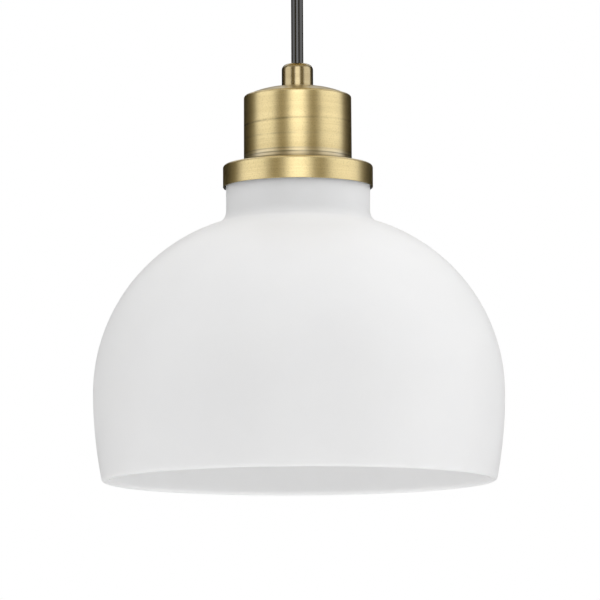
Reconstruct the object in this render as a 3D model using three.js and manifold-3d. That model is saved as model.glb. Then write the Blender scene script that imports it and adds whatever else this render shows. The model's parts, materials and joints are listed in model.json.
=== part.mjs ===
// Pendant ceiling light: a domed opal glass shade under a brass cup, hung on a round cord from a canopy.
// Millimetres, +Z up. The origin is the centre of the canopy's rim, where it meets the ceiling.
import * as THREE from "three";
import { mergeVertices } from "three/addons/utils/BufferGeometryUtils.js";
import Module from "manifold-3d";

const wasm = await Module();
wasm.setup();

// ---- Driving dimensions ---------------------------------------------------------

const GAP = 0.1; // between flat faces that rest on each other
const EASY = 0.3; // between round pieces and faces that only meet

// Ceiling canopy and its fastenings
const CANOPY_R = 62;
const CANOPY_H = 25;
const CANOPY_WALL = 0.9;
const CANOPY_ROUND = 2.2;
const CANOPY_HOLE_R = 5.9; // for the threaded stub of the cord grip
const BAR_LENGTH = 104;
const BAR_WIDTH = 18;
const BAR_THICK = 1.6;
const BAR_CORNER_R = 4;
const BAR_CORD_HOLE_R = 5.5;
const BAR_SLOT_R = 2.2;
const BAR_SLOT_RUN = 7; // between the middles of a slot's two round ends
const STUD_X = 44;
const STUD_R = 2;
const CAP_NUT_R = 4.6;
const CAP_NUT_H = 6.4;
const CAP_NUT_DOME = 3;
const CAP_NUT_DEPTH = 3.4; // of its blind hole
const BOX_SCREW_X = 32; // middle of each slot for the junction box's screws
const EARTH_SCREW_X = -18;
const EARTH_SCREW_R = 1.7;
const CONNECTOR_R = 5.6; // screw-on wire connectors
const CONNECTOR_LENGTH = 18;
const CONNECTOR_BORE_R = 2.4;
const CONNECTOR_BORE_DEPTH = 10;
const CONNECTOR_PLACE = [14, 24, -12]; // middle of the open end, on the right-hand side

// Cord and the grips that hold its two ends
const CORD_R = 3;
const CORD_FREE = 60; // length between the two grips
const WIRE_R = 1;
const WIRE_SPREAD = 1.45; // from the cord's middle to each of its three wires
const GRIP_R = 7.8;
const GRIP_H = 12.1;
const GRIP_ROUND = 3.1;
const GRIP_BORE_R = 3.4;
const GRIP_STUB_R = 5.6; // threaded stub that goes up through the canopy
const GRIP_STUB_H = 10;
const BUSH_R = 4.6; // ball-shaped rubber bush in each grip's mouth
const BUSH_DEPTH = 1.6; // from the grip's face to the bush's centre
const STUB_CLEAR = 4.1; // from a bush's centre to the fixed cord end behind it, so that the bush can tilt

// Lamp head, in its own frame: height 0 is the lower edge of the shade holder
const HOLDER_R = 37.2;
const HOLDER_H = 11.1;
const HOLDER_WALL = 0.7;
const HOLDER_PLATE = 1.2;
const CUP_TOP_R = 26.7;
const CUP_FOOT_R = 26.8;
const CUP_WALL = 1;
const CUP_EDGE_H = 46.1;
const CUP_ROUND = 1.5;
const CUP_PAD_H = 50.1; // flat seat of the strain relief, at the top of the domed end
const CUP_PAD_R = 8.2;
const CUP_CROWN = 1.8; // from the middle of the dome's chord up to its control point
const RELIEF_TOP = 61.9;
const RELIEF_DEPTH = 6; // of the threaded hole in its foot

// Glass shade
const SHADE_R = 101.6;
const SHADE_WALL = 3.4;
const NECK_R = 35.7;
const NECK_ROUND = 3.4;
const NECK_FILLET = 7;
const SHADE_WIDEST = -102.5; // height of the greatest radius
const SHADE_RIM = -146.1;
const UPPER_ARC = 88.5;
const LOWER_ARC = 218;
const SHADE_HOLE_R = 21;
const SHADE_SEAT = 8.3; // height of the neck's flat top
const GASKET_R = 31;
const CLAMP_WASHER_R = 29.5;
const CLAMP_WASHER_H = 1.2;
const CLAMP_RING_R = 27.6; // half-way up its finger lobes
const CLAMP_RING_H = 5.5;
const CLAMP_LOBES = 12;
const CLAMP_LOBE = 0.9; // half the depth of a lobe

// Lampholder for an E26 bulb
const SOCKET_R = 19.6;
const SOCKET_MOUTH = -24;
const SOCKET_FLOOR = 7;
const SOCKET_TOP = 13.8;
const SOCKET_BORE_R = 14.6;
const SOCKET_FLANGE_R = 24;
const CAP_TOP = 36.4; // insulating cap over the socket's terminals
const CAP_CEILING = 33.4;
const TERMINAL_X = 11;
const TERMINAL_HOLE_R = 1.8;
const TERMINAL_TIP = 9.6; // lower end of a terminal screw
const TERMINAL_THICK = 0.8;
const TAG_THICK = 0.6; // of the earthing tag
const NIPPLE_R = 4.8;
const NIPPLE_BORE_R = 3.5;
const NIPPLE_FOOT = 28.6;
const NUT_BORE_R = 5.1;
const WASHER_THICK = 0.8;
const THREAD_PITCH = 3.629;
const THREAD_WAVE = 0.42; // half the depth of the rolled thread
const THREAD_MEAN_R = 12.8;
const THREAD_CLEAR = 0.35;

// Bulb, in its own frame: height 0 is the tip of its contact, and it hangs down from there
const BULB_TIP = 3.8; // height of that tip in the lamp head's frame
const BULB_R = 30;
const BULB_LENGTH = 108;
const BASE_TOP = -4.4;
const BASE_FOOT = -26.4;
const BASE_TOP_R = 9.8;
const INSULATOR_TOP = -1.9;
const HOUSING_R = 23.5; // where the housing meets the globe
const HOUSING_FOOT = -46;
const HOUSING_WALL = 1.6;
const GLOBE_WALL = 1.2;
const GLOBE_SHOULDER = 0.2; // angle above the globe's middle where its shoulder begins

// Places along the axis
const GRIP_FACE = -(CANOPY_H + GRIP_H);
const CANOPY_BUSH = GRIP_FACE + BUSH_DEPTH;
const LAMP_Z = GRIP_FACE - CORD_FREE - RELIEF_TOP; // the lamp head's frame in the whole light
const LAMP_BUSH = RELIEF_TOP - BUSH_DEPTH;
const TAG_LOW = CAP_CEILING - GAP - TAG_THICK;

// ---- Finishes -------------------------------------------------------------------

const finish = (color, roughness, metalness) => () =>
  new THREE.MeshStandardMaterial({ color, roughness, metalness });
const brass = finish(0xb59a5b, 0.32, 1);
const opalGlass = finish(0xf3f3f2, 0.35, 0);
const blackSheath = finish(0x1d1e20, 0.55, 0);
const blackRubber = finish(0x18181a, 0.7, 0);
const zincSteel = finish(0xb9bcc0, 0.38, 1);
const nickel = finish(0xcfcbc2, 0.25, 1);
const phenolic = finish(0x24211f, 0.45, 0);
const whitePlastic = finish(0xf0efeb, 0.4, 0);
const silicone = finish(0xd8d6d0, 0.75, 0);
const orangePlastic = finish(0xd9822b, 0.5, 0);
const wireBlack = finish(0x202020, 0.5, 0);
const wireWhite = finish(0xe4e2dc, 0.5, 0);
const wireGreen = finish(0x2e7d43, 0.5, 0);

// ---- Shape helpers --------------------------------------------------------------

const TAU = 2 * Math.PI;
const COARSE = 16;
const MEDIUM = 24;
const FINE = 36;
const THREADED = 24;

// Points of an arc in the (radius, height) plane, from one angle to another, both ends included.
function arc(centreR, centreZ, radius, from, to, steps) {
  const points = [];
  for (let i = 0; i <= steps; i++) {
    const angle = from + ((to - from) * i) / steps;
    points.push([centreR + radius * Math.cos(angle), centreZ + radius * Math.sin(angle)]);
  }
  return points;
}

// Points of a quadratic curve in the (radius, height) plane.
function bend(start, control, end) {
  const [a, b, c] = [start, control, end].map(([r, z]) => new THREE.Vector2(r, z));
  const points = new THREE.QuadraticBezierCurve(a, b, c).getPoints(4);
  return points.map((point) => [point.x, point.y]);
}

// Turns an outline about the Z axis. Outlines run clockwise, seen with the radius to the right and Z up.
function turn(outline, segments = COARSE) {
  const closed = outline[0][0] > 0 ? [...outline, outline[0]] : outline;
  const points = closed.map(([r, z]) => new THREE.Vector2(r, z)).reverse();
  return new THREE.LatheGeometry(points, segments).rotateX(Math.PI / 2);
}

function ring(innerR, outerR, low, high, segments = COARSE) {
  const outline = [
    [innerR, high],
    [outerR, high],
    [outerR, low],
    [innerR, low],
  ];
  return turn(outline, segments);
}

function rod(radius, low, high, segments = COARSE) {
  const outline = [
    [0, high],
    [radius, high],
    [radius, low],
    [0, low],
  ];
  return turn(outline, segments);
}

function circle(x, y, radius) {
  return new THREE.Path().absarc(x, y, radius, 0, TAU);
}

// Extrudes a flat outline upwards from the height low.
function plate(shape, low, thick, curveSegments = 12) {
  const settings = { depth: thick, bevelEnabled: false, curveSegments };
  return new THREE.ExtrudeGeometry(shape, settings).translate(0, 0, low);
}

function hexNut(acrossFlats, boreR, low, thick) {
  const corners = [];
  for (let i = 0; i < 6; i++) {
    const corner = new THREE.Vector2(acrossFlats / Math.sqrt(3), 0);
    corners.push(corner.rotateAround(new THREE.Vector2(), (i * TAU) / 6));
  }
  const shape = new THREE.Shape(corners);
  shape.holes.push(circle(0, 0, boreR));
  return plate(shape, low, thick);
}

// A round tube or wire along points, as a swept polygon.
function sweep(points, radius, sides, steps) {
  const path = new THREE.CatmullRomCurve3(points.map((p) => new THREE.Vector3(...p)));
  const section = new THREE.Shape();
  for (let i = 0; i < sides; i++) {
    const angle = (i * TAU) / sides;
    const at = [radius * Math.cos(angle), radius * Math.sin(angle)];
    if (i === 0) section.moveTo(...at);
    else section.lineTo(...at);
  }
  return new THREE.ExtrudeGeometry(section, { steps, extrudePath: path, bevelEnabled: false });
}

function toSolid(geometry) {
  const bare = geometry.index ? geometry.toNonIndexed() : geometry.clone();
  bare.deleteAttribute("normal");
  bare.deleteAttribute("uv");
  const merged = mergeVertices(bare, 1e-3);
  const vertProperties = merged.attributes.position.array;
  const triVerts = Uint32Array.from(merged.index.array);
  return new wasm.Manifold(new wasm.Mesh({ numProp: 3, vertProperties, triVerts }));
}

function toGeometry(solid) {
  const { vertProperties, triVerts } = solid.getMesh();
  const geometry = new THREE.BufferGeometry();
  geometry.setAttribute("position", new THREE.BufferAttribute(vertProperties, 3));
  geometry.setIndex(new THREE.BufferAttribute(triVerts, 1));
  return geometry;
}

function cut(body, tools) {
  return toGeometry(tools.reduce((rest, tool) => rest.subtract(toSolid(tool)), toSolid(body)));
}

function join(pieces) {
  const [first, ...others] = pieces.map(toSolid);
  return toGeometry(others.reduce((sum, piece) => sum.add(piece), first));
}

function addPart(group, name, geometry, material) {
  const mesh = new THREE.Mesh(geometry, material());
  mesh.name = name;
  group.add(mesh);
  return mesh;
}

function addGroup(parent, z) {
  const group = new THREE.Group();
  group.position.z = z;
  parent.add(group);
  return group;
}

// Points down a wall that is to be threaded, four to each turn of the thread.
function threadRows(radius, from, to) {
  const rows = Math.round((Math.abs(to - from) / THREAD_PITCH) * 4);
  return Array.from({ length: rows + 1 }, (_, i) => [radius, from + ((to - from) * i) / rows]);
}

// Moves the wall of the given radius in and out along a right-hand screw line.
function rollThread(geometry, wallR, low, high) {
  const at = geometry.attributes.position;
  for (let i = 0; i < at.count; i++) {
    const x = at.getX(i);
    const y = at.getY(i);
    const z = at.getZ(i);
    const r = Math.hypot(x, y);
    if (Math.abs(r - wallR) > 0.01 || z < low || z > high) continue;
    const wave = THREAD_WAVE * Math.cos(Math.atan2(y, x) - (TAU * z) / THREAD_PITCH);
    at.setXY(i, (x * (r + wave)) / r, (y * (r + wave)) / r);
  }
  return geometry;
}

// ---- Cord grips: the same turned brass piece holds each end of the cord ---------

// Outline of a grip whose mouth faces up at height face. Its foot, at height foot, is bored to footR.
function gripOutline(face, foot, footR, footDepth) {
  const ball = face - BUSH_DEPTH;
  const seatR = BUSH_R + EASY;
  const mouthAngle = Math.asin(BUSH_DEPTH / seatR);
  const boreAngle = -Math.acos(GRIP_BORE_R / seatR);
  return [
    ...arc(0, ball, seatR, boreAngle, mouthAngle, 5),
    ...arc(GRIP_R - GRIP_ROUND, face - GRIP_ROUND, GRIP_ROUND, Math.PI / 2, 0, 4),
    [GRIP_R, foot],
    [footR, foot],
    [footR, foot + footDepth],
    [GRIP_BORE_R, foot + footDepth],
  ];
}

// A ball-shaped rubber bush centred at height 0, with a bell mouth facing up for the cord to lean in.
function bushGeometry() {
  const mouth = BUSH_DEPTH - 0.2;
  const bore = CORD_R + EASY;
  const low = -BUSH_R * 0.6;
  const outline = [
    ...arc(0, 0, BUSH_R, Math.asin(mouth / BUSH_R), Math.asin(low / BUSH_R), 5),
    [bore, low],
    [bore, 0],
    [bore + 0.45, mouth],
  ];
  return turn(outline);
}

// ---- Ceiling fitting ------------------------------------------------------------

function canopyShell() {
  const inside = CANOPY_R - CANOPY_WALL;
  const innerRound = CANOPY_ROUND - CANOPY_WALL;
  const edge = CANOPY_R - CANOPY_ROUND;
  const level = -CANOPY_H + CANOPY_ROUND;
  const outline = [
    [inside, 0],
    [CANOPY_R, 0],
    ...arc(edge, level, CANOPY_ROUND, 0, -Math.PI / 2, 4),
    [CANOPY_HOLE_R, -CANOPY_H],
    [CANOPY_HOLE_R, -CANOPY_H + CANOPY_WALL],
    ...arc(edge, level, innerRound, -Math.PI / 2, 0, 4),
  ];
  const drills = [-STUD_X, STUD_X].map((x) => {
    const drill = rod(STUD_R + 0.6, -CANOPY_H - 1, -CANOPY_H + 2);
    return drill.translate(x, 0, 0);
  });
  return cut(turn(outline, FINE), drills);
}

function mountingBar() {
  const x = BAR_LENGTH / 2 - BAR_CORNER_R;
  const y = BAR_WIDTH / 2 - BAR_CORNER_R;
  const shape = new THREE.Shape();
  shape.absarc(x, y, BAR_CORNER_R, 0, TAU / 4);
  shape.absarc(-x, y, BAR_CORNER_R, TAU / 4, TAU / 2);
  shape.absarc(-x, -y, BAR_CORNER_R, TAU / 2, (3 * TAU) / 4);
  shape.absarc(x, -y, BAR_CORNER_R, (3 * TAU) / 4, TAU);
  shape.holes.push(circle(0, 0, BAR_CORD_HOLE_R));
  shape.holes.push(circle(EARTH_SCREW_X, 0, EARTH_SCREW_R + EASY));
  for (const side of [-1, 1]) {
    shape.holes.push(circle(side * STUD_X, 0, STUD_R + 0.2));
    const slot = new THREE.Path();
    slot.absarc(side * BOX_SCREW_X + BAR_SLOT_RUN / 2, 0, BAR_SLOT_R, -TAU / 4, TAU / 4);
    slot.absarc(side * BOX_SCREW_X - BAR_SLOT_RUN / 2, 0, BAR_SLOT_R, TAU / 4, (3 * TAU) / 4);
    shape.holes.push(slot);
  }
  return plate(shape, -BAR_THICK, BAR_THICK, 6);
}

// Domed brass nut that closes on the stud from below, with a blind hole in its top.
function capNut() {
  const high = -CANOPY_H - GAP;
  const low = high - CAP_NUT_H;
  const holeR = STUD_R + 0.25;
  const holeTop = high - CAP_NUT_DEPTH;
  return turn([
    [0, holeTop],
    [holeR, holeTop],
    [holeR, high],
    [CAP_NUT_R, high],
    ...arc(CAP_NUT_R - CAP_NUT_DOME, low + CAP_NUT_DOME, CAP_NUT_DOME, 0, -Math.PI / 2, 5),
    [0, low],
  ]);
}

function canopyGrip() {
  const stubTop = -CANOPY_H + GRIP_STUB_H;
  const shoulder = -CANOPY_H - GAP;
  // The grip is drawn mouth up and then turned over, so its heights are taken from the canopy's lower face.
  const body = turn(gripOutline(-GRIP_FACE, -shoulder, GRIP_BORE_R + 0.01, 0.01), COARSE);
  body.rotateX(Math.PI);
  return join([body, ring(GRIP_BORE_R, GRIP_STUB_R, shoulder - 1, stubTop)]);
}

// Screw-on connector that joins a wire of the cord to the house wire. It is open at height 0.
function wireConnector() {
  const tipR = 3;
  const step = 1; // width and height of the step between grip and cone
  return turn([
    [0, CONNECTOR_LENGTH],
    [tipR, CONNECTOR_LENGTH],
    [CONNECTOR_R - step, CONNECTOR_BORE_DEPTH],
    [CONNECTOR_R, CONNECTOR_BORE_DEPTH - step],
    [CONNECTOR_R, 0],
    [CONNECTOR_BORE_R, 0],
    [CONNECTOR_BORE_R, CONNECTOR_BORE_DEPTH],
    [0, CONNECTOR_BORE_DEPTH],
  ], 16);
}

function earthScrew() {
  const headR = 3.6;
  const under = -BAR_THICK - GAP;
  const low = -BAR_THICK - 2.2;
  const crown = 0.4;
  return turn([
    [0, -EASY],
    [EARTH_SCREW_R, -EASY],
    [EARTH_SCREW_R, under],
    [headR, under],
    [headR, low],
    [0, low - crown],
  ], 16);
}

function buildCeilingFitting(root) {
  const fitting = addGroup(root, 0);
  addPart(fitting, "canopy_shell", canopyShell(), brass);
  addPart(fitting, "mounting_bar", mountingBar(), zincSteel);
  for (const [side, x] of [["left", -STUD_X], ["right", STUD_X]]) {
    const stud = rod(STUD_R, -CANOPY_H - 3, -EASY, 16);
    addPart(fitting, `canopy_stud_${side}`, stud, zincSteel).position.x = x;
    addPart(fitting, `canopy_nut_${side}`, capNut(), brass).position.x = x;
  }
  addPart(fitting, "canopy_grip", canopyGrip(), brass);
  const gripNut = hexNut(16, CANOPY_HOLE_R, -CANOPY_H + CANOPY_WALL + GAP, 4);
  addPart(fitting, "canopy_grip_nut", gripNut, zincSteel);
  addPart(fitting, "earth_screw", earthScrew(), wireGreen).position.x = EARTH_SCREW_X;
  buildSupplyWires(fitting);
}

function buildSupplyWires(fitting) {
  const sheathEnd = -13;
  const start = sheathEnd + EASY;
  addPart(fitting, "cord_tail", rod(CORD_R, CANOPY_BUSH + STUB_CLEAR, sheathEnd, 12), blackSheath);
  for (const [name, side, material] of [["live", -1, wireBlack], ["neutral", 1, wireWhite]]) {
    const route = [
      [side * 1.25, WIRE_SPREAD / 2, start],
      [side * 1.6, 1.6, -9.6],
      [side * 3, 9, -8],
      [side * 4.5, 18, -9.6],
      [side * 10, 23.4, -12],
      [side * 20, 24, -12],
    ];
    addPart(fitting, `supply_wire_${name}`, sweep(route, WIRE_R, 8, 16), material);
    const connector = addPart(fitting, `wire_connector_${name}`, wireConnector(), orangePlastic);
    const [x, y, z] = CONNECTOR_PLACE;
    connector.position.set(side * x, y, z);
    connector.rotation.y = (side * TAU) / 4;
  }
  const earthRoute = [
    [0, -WIRE_SPREAD, start],
    [-0.6, -2.2, -9.8],
    [-4.4, -4.4, -6.8],
    [-9.4, -4, -4.6],
    [EARTH_SCREW_X + 4.9, -1.2, -3.4],
  ];
  addPart(fitting, "supply_wire_earth", sweep(earthRoute, WIRE_R, 8, 12), wireGreen);
}

// ---- Hanging cord ---------------------------------------------------------------

function buildCord(root) {
  const top = CANOPY_BUSH;
  const foot = LAMP_Z + LAMP_BUSH;
  const middle = (top + foot) / 2;
  const upper = [
    [0, 0, top],
    [0, 0, middle + 20],
    [0, 0, middle + 10],
    [0, 0, middle],
  ];
  const lower = [
    [0, 0, middle - EASY],
    [0, 0, middle - 10],
    [0, 0, middle - 20],
    [0, 0, foot],
  ];
  addPart(root, "cord_upper", sweep(upper, CORD_R, 12, 3), blackSheath);
  addPart(root, "cord_lower", sweep(lower, CORD_R, 12, 3), blackSheath);
  const canopyBush = addPart(root, "canopy_bush", bushGeometry(), blackRubber);
  canopyBush.position.z = CANOPY_BUSH;
  canopyBush.rotation.x = Math.PI;
  addPart(root, "strain_relief_bush", bushGeometry(), blackRubber).position.z = foot;
}

// ---- Lamp head ------------------------------------------------------------------

function strainRelief() {
  const foot = CUP_PAD_H + GAP;
  return turn(gripOutline(RELIEF_TOP, foot, NIPPLE_R + 0.15, RELIEF_DEPTH), MEDIUM);
}

// Brass cup: straight sides, a small rounded edge and a domed end with a flat seat in its middle.
function cup() {
  const foot = HOLDER_H + GAP;
  const hole = NIPPLE_R + EASY;
  const edgeR = CUP_TOP_R - CUP_ROUND;
  const edgeZ = CUP_EDGE_H - CUP_ROUND;
  const middleR = (edgeR + CUP_PAD_R) / 2;
  const middleZ = (CUP_EDGE_H + CUP_PAD_H) / 2 + CUP_CROWN;
  const dome = (drop) =>
    bend([CUP_PAD_R, CUP_PAD_H - drop], [middleR, middleZ - drop], [edgeR, CUP_EDGE_H - drop]);
  return turn([
    [hole, CUP_PAD_H],
    ...dome(0),
    ...arc(edgeR, edgeZ, CUP_ROUND, Math.PI / 2, 0, 3).slice(1),
    [CUP_FOOT_R, foot],
    [CUP_FOOT_R - CUP_WALL, foot],
    ...arc(edgeR, edgeZ, CUP_ROUND - CUP_WALL, 0, Math.PI / 2, 2),
    ...dome(CUP_WALL).reverse().slice(1),
    [hole, CUP_PAD_H - CUP_WALL],
  ], FINE);
}

// Wide brass ring that covers the neck of the shade, with a flat plate that the shade is clamped against.
function shadeHolder() {
  const round = 1.5;
  const hole = SOCKET_R + 1;
  const inside = HOLDER_R - HOLDER_WALL;
  return turn([
    [hole, HOLDER_H],
    ...arc(HOLDER_R - round, HOLDER_H - round, round, Math.PI / 2, 0, 4),
    [HOLDER_R, 0],
    [inside, 0],
    [inside, HOLDER_H - HOLDER_PLATE],
    [hole, HOLDER_H - HOLDER_PLATE],
  ], FINE);
}

function socketBody() {
  const flange = HOLDER_H + GAP;
  const body = turn([
    [0, SOCKET_TOP],
    [SOCKET_FLANGE_R, SOCKET_TOP],
    [SOCKET_FLANGE_R, flange],
    [SOCKET_R, flange],
    [SOCKET_R, SOCKET_MOUTH],
    [SOCKET_BORE_R, SOCKET_MOUTH],
    [SOCKET_BORE_R, SOCKET_FLOOR],
    [0, SOCKET_FLOOR],
  ], MEDIUM);
  const holes = [-TERMINAL_X, TERMINAL_X].map((x) => {
    const hole = rod(TERMINAL_HOLE_R, TERMINAL_TIP - 2 * EASY, SOCKET_TOP + 1, 12);
    return hole.translate(x, 0, 0);
  });
  return cut(body, holes);
}

function socketCap() {
  const hole = NIPPLE_R + EASY;
  const foot = SOCKET_TOP + GAP;
  const outerR = 19.4;
  const innerR = 17;
  return turn([
    [hole, CAP_TOP],
    [outerR - 4.4, CAP_TOP],
    [outerR, CAP_TOP - 5.4],
    [outerR, foot],
    [innerR, foot],
    [innerR, CAP_CEILING - 3.9],
    [innerR - 3.4, CAP_CEILING],
    [hole, CAP_CEILING],
  ], MEDIUM);
}

function screwShell() {
  const wallR = THREAD_MEAN_R + THREAD_CLEAR;
  const outerR = 14.2;
  const lipR = 10.2;
  const lip = 0.6;
  const top = SOCKET_FLOOR - GAP;
  const foot = -19.5;
  const shell = turn([
    [lipR, top],
    [outerR, top],
    [outerR, foot],
    ...threadRows(wallR, foot, top - lip),
    [lipR, top - lip],
  ], THREADED);
  return rollThread(shell, wallR, foot - 0.1, top - 2);
}

// Springy strip under the socket's floor that the bulb's tip presses on.
function centreContact() {
  const thick = 0.5;
  const width = 6;
  const floor = SOCKET_FLOOR - GAP;
  const touch = BULB_TIP + EASY;
  const shape = new THREE.Shape();
  shape.moveTo(-9, floor);
  shape.lineTo(-9, floor - thick);
  shape.lineTo(-4.2, floor - thick);
  shape.quadraticCurveTo(-1, floor - thick, 0, touch);
  shape.lineTo(4, touch);
  shape.lineTo(6.5, touch + 1.2);
  shape.lineTo(6.2, touch + 1.2 + thick);
  shape.lineTo(3.8, touch + thick);
  shape.lineTo(0.4, touch + thick);
  shape.quadraticCurveTo(-0.8, floor, -4, floor);
  return plate(shape, -width / 2, width, 4).rotateX(TAU / 4);
}

function terminalPlate(side) {
  const near = 6.8;
  const far = 15.4;
  const half = 3.5;
  const shape = new THREE.Shape();
  shape.moveTo(near, -half).lineTo(far, -half).lineTo(far, half).lineTo(near, half);
  shape.holes.push(circle(TERMINAL_X, 0, TERMINAL_HOLE_R));
  const geometry = plate(shape, SOCKET_TOP + GAP, TERMINAL_THICK, 6);
  return side < 0 ? geometry.rotateZ(Math.PI) : geometry;
}

function terminalScrew() {
  const under = SOCKET_TOP + TERMINAL_THICK + 2 * GAP;
  const top = under + 2;
  const headR = 3.1;
  const bevel = 0.7;
  const shankR = TERMINAL_HOLE_R - EASY;
  return turn([
    [0, top],
    [headR - bevel, top],
    [headR, top - bevel],
    [headR, under],
    [shankR, under],
    [shankR, TERMINAL_TIP],
    [0, TERMINAL_TIP],
  ], 16);
}

// Flat ring on the nipple with a tail that the earth wire is soldered to.
function earthTag() {
  const ringR = 7.4;
  const tailHalf = 2.5;
  const tailEnd = -12.5;
  const shape = new THREE.Shape();
  shape.absarc(0, 0, ringR, -TAU / 4 + 0.35, (3 * TAU) / 4 - 0.35);
  shape.lineTo(-tailHalf, tailEnd).lineTo(tailHalf, tailEnd);
  shape.holes.push(circle(0, 0, NIPPLE_R + EASY));
  return plate(shape, TAG_LOW, TAG_THICK, 10);
}

function buildCupAndSocket(lamp) {
  addPart(lamp, "strain_relief", strainRelief(), brass);
  const nippleTop = CUP_PAD_H + GAP + RELIEF_DEPTH - 0.2;
  const nipple = ring(NIPPLE_BORE_R, NIPPLE_R, NIPPLE_FOOT, nippleTop);
  addPart(lamp, "threaded_nipple", nipple, zincSteel);
  addPart(lamp, "socket_cup", cup(), brass);
  const washerTop = CUP_PAD_H - CUP_WALL - GAP;
  const washerLow = washerTop - WASHER_THICK;
  const cupNutH = 4;
  const capNutH = 3;
  addPart(lamp, "lock_washer", ring(5.2, 8.1, washerLow, washerTop), zincSteel);
  addPart(lamp, "cup_nut", hexNut(14, NUT_BORE_R, washerLow - GAP - cupNutH, cupNutH), zincSteel);
  addPart(lamp, "shade_holder", shadeHolder(), brass);
  addPart(lamp, "socket_cap", socketCap(), phenolic);
  addPart(lamp, "earth_tag", earthTag(), nickel);
  addPart(lamp, "cap_nut", hexNut(12, NUT_BORE_R, TAG_LOW - GAP - capNutH, capNutH), zincSteel);
  addPart(lamp, "socket_body", socketBody(), phenolic);
  addPart(lamp, "screw_shell", screwShell(), nickel);
  addPart(lamp, "centre_contact", centreContact(), brass);
  for (const [name, side] of [["live", -1], ["neutral", 1]]) {
    addPart(lamp, `terminal_plate_${name}`, terminalPlate(side), brass);
    addPart(lamp, `terminal_screw_${name}`, terminalScrew(), nickel).position.x = side * TERMINAL_X;
  }
}

function buildLampWires(lamp) {
  const sheathEnd = 27.4;
  const start = sheathEnd - EASY;
  addPart(lamp, "cord_end", rod(CORD_R, sheathEnd, LAMP_BUSH - STUB_CLEAR, 12), blackSheath);
  for (const [name, side, material] of [["live", -1, wireBlack], ["neutral", 1, wireWhite]]) {
    const route = [
      [side * 1.25, WIRE_SPREAD / 2, start],
      [side * 1.8, 1.4, 24],
      [side * 4.6, 4.4, 20],
      [side * 6.3, 3.6, 16.8],
      [side * 6.6, -1.6, 15.9],
    ];
    addPart(lamp, `lamp_wire_${name}`, sweep(route, WIRE_R, 8, 12), material);
  }
  const earthRoute = [
    [0, -WIRE_SPREAD, start],
    [0, -2.2, 24.6],
    [0, -6, 22.8],
    [0, -9.6, 25],
    [0, -10.3, 29],
    [0, -10.3, TAG_LOW - EASY],
  ];
  addPart(lamp, "lamp_wire_earth", sweep(earthRoute, WIRE_R, 8, 14), wireGreen);
}

// ---- Shade and its clamping ring ------------------------------------------------

// The wall runs through a neck, a small hollow fillet, a dome and a long arc that draws in to the rim.
function glassShade() {
  const wall = SHADE_WALL;
  const domeR = SHADE_R - UPPER_ARC;
  const lowerR = SHADE_R - LOWER_ARC;
  const filletR = NECK_R + NECK_FILLET;
  const reach = UPPER_ARC + NECK_FILLET;
  const filletZ = SHADE_WIDEST + Math.sqrt(reach ** 2 - (filletR - domeR) ** 2);
  const meet = Math.atan2(filletZ - SHADE_WIDEST, filletR - domeR);
  const rimAngle = -Math.asin((SHADE_WIDEST - SHADE_RIM - wall / 2) / (LOWER_ARC - wall / 2));
  const rimR = lowerR + (LOWER_ARC - wall / 2) * Math.cos(rimAngle);
  const rimZ = SHADE_WIDEST + (LOWER_ARC - wall / 2) * Math.sin(rimAngle);
  const quarter = TAU / 4;
  return turn([
    [SHADE_HOLE_R, SHADE_SEAT],
    ...arc(NECK_R - NECK_ROUND, SHADE_SEAT - NECK_ROUND, NECK_ROUND, quarter, 0, 3),
    ...arc(filletR, filletZ, NECK_FILLET, Math.PI, Math.PI + meet, 4),
    ...arc(domeR, SHADE_WIDEST, UPPER_ARC, meet, 0, 10).slice(1),
    ...arc(lowerR, SHADE_WIDEST, LOWER_ARC, 0, rimAngle, 3).slice(1),
    ...arc(rimR, rimZ, wall / 2, rimAngle, rimAngle - Math.PI, 4).slice(1),
    ...arc(lowerR, SHADE_WIDEST, LOWER_ARC - wall, rimAngle, 0, 3).slice(1),
    ...arc(domeR, SHADE_WIDEST, UPPER_ARC - wall, 0, meet, 9).slice(1),
    ...arc(filletR, filletZ, NECK_FILLET + wall, Math.PI + meet, Math.PI, 3).slice(1),
    [NECK_R - wall, SHADE_SEAT - wall],
    [SHADE_HOLE_R, SHADE_SEAT - wall],
  ], FINE);
}

// Ring with finger lobes that screws up the outside of the socket and clamps the shade.
function clampRing(low) {
  const steps = 4 * CLAMP_LOBES;
  const shape = new THREE.Shape();
  for (let i = 0; i < steps; i++) {
    const angle = (i * TAU) / steps;
    const r = CLAMP_RING_R + CLAMP_LOBE * Math.cos(CLAMP_LOBES * angle);
    if (i === 0) shape.moveTo(r, 0);
    else shape.lineTo(r * Math.cos(angle), r * Math.sin(angle));
  }
  shape.holes.push(circle(0, 0, SOCKET_R + 0.4));
  return plate(shape, low, CLAMP_RING_H, MEDIUM);
}

function buildShade(lamp) {
  const seat = HOLDER_H - HOLDER_PLATE;
  const gasket = ring(SHADE_HOLE_R + 0.4, GASKET_R, SHADE_SEAT + GAP, seat - GAP, MEDIUM);
  addPart(lamp, "shade_gasket", gasket, silicone);
  addPart(lamp, "glass_shade", glassShade(), opalGlass);
  const washerTop = SHADE_SEAT - SHADE_WALL - GAP;
  const washerLow = washerTop - CLAMP_WASHER_H;
  const washer = ring(SHADE_HOLE_R, CLAMP_WASHER_R, washerLow, washerTop, MEDIUM);
  addPart(lamp, "clamp_washer", washer, silicone);
  addPart(lamp, "clamp_ring", clampRing(washerLow - GAP - CLAMP_RING_H), phenolic);
}

// ---- Bulb -----------------------------------------------------------------------

function bulbContact() {
  const low = INSULATOR_TOP + GAP;
  return turn([
    [0, 0],
    [2.6, -0.2],
    [4.2, -1],
    [4.2, low],
    [0, low],
  ], 16);
}

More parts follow.
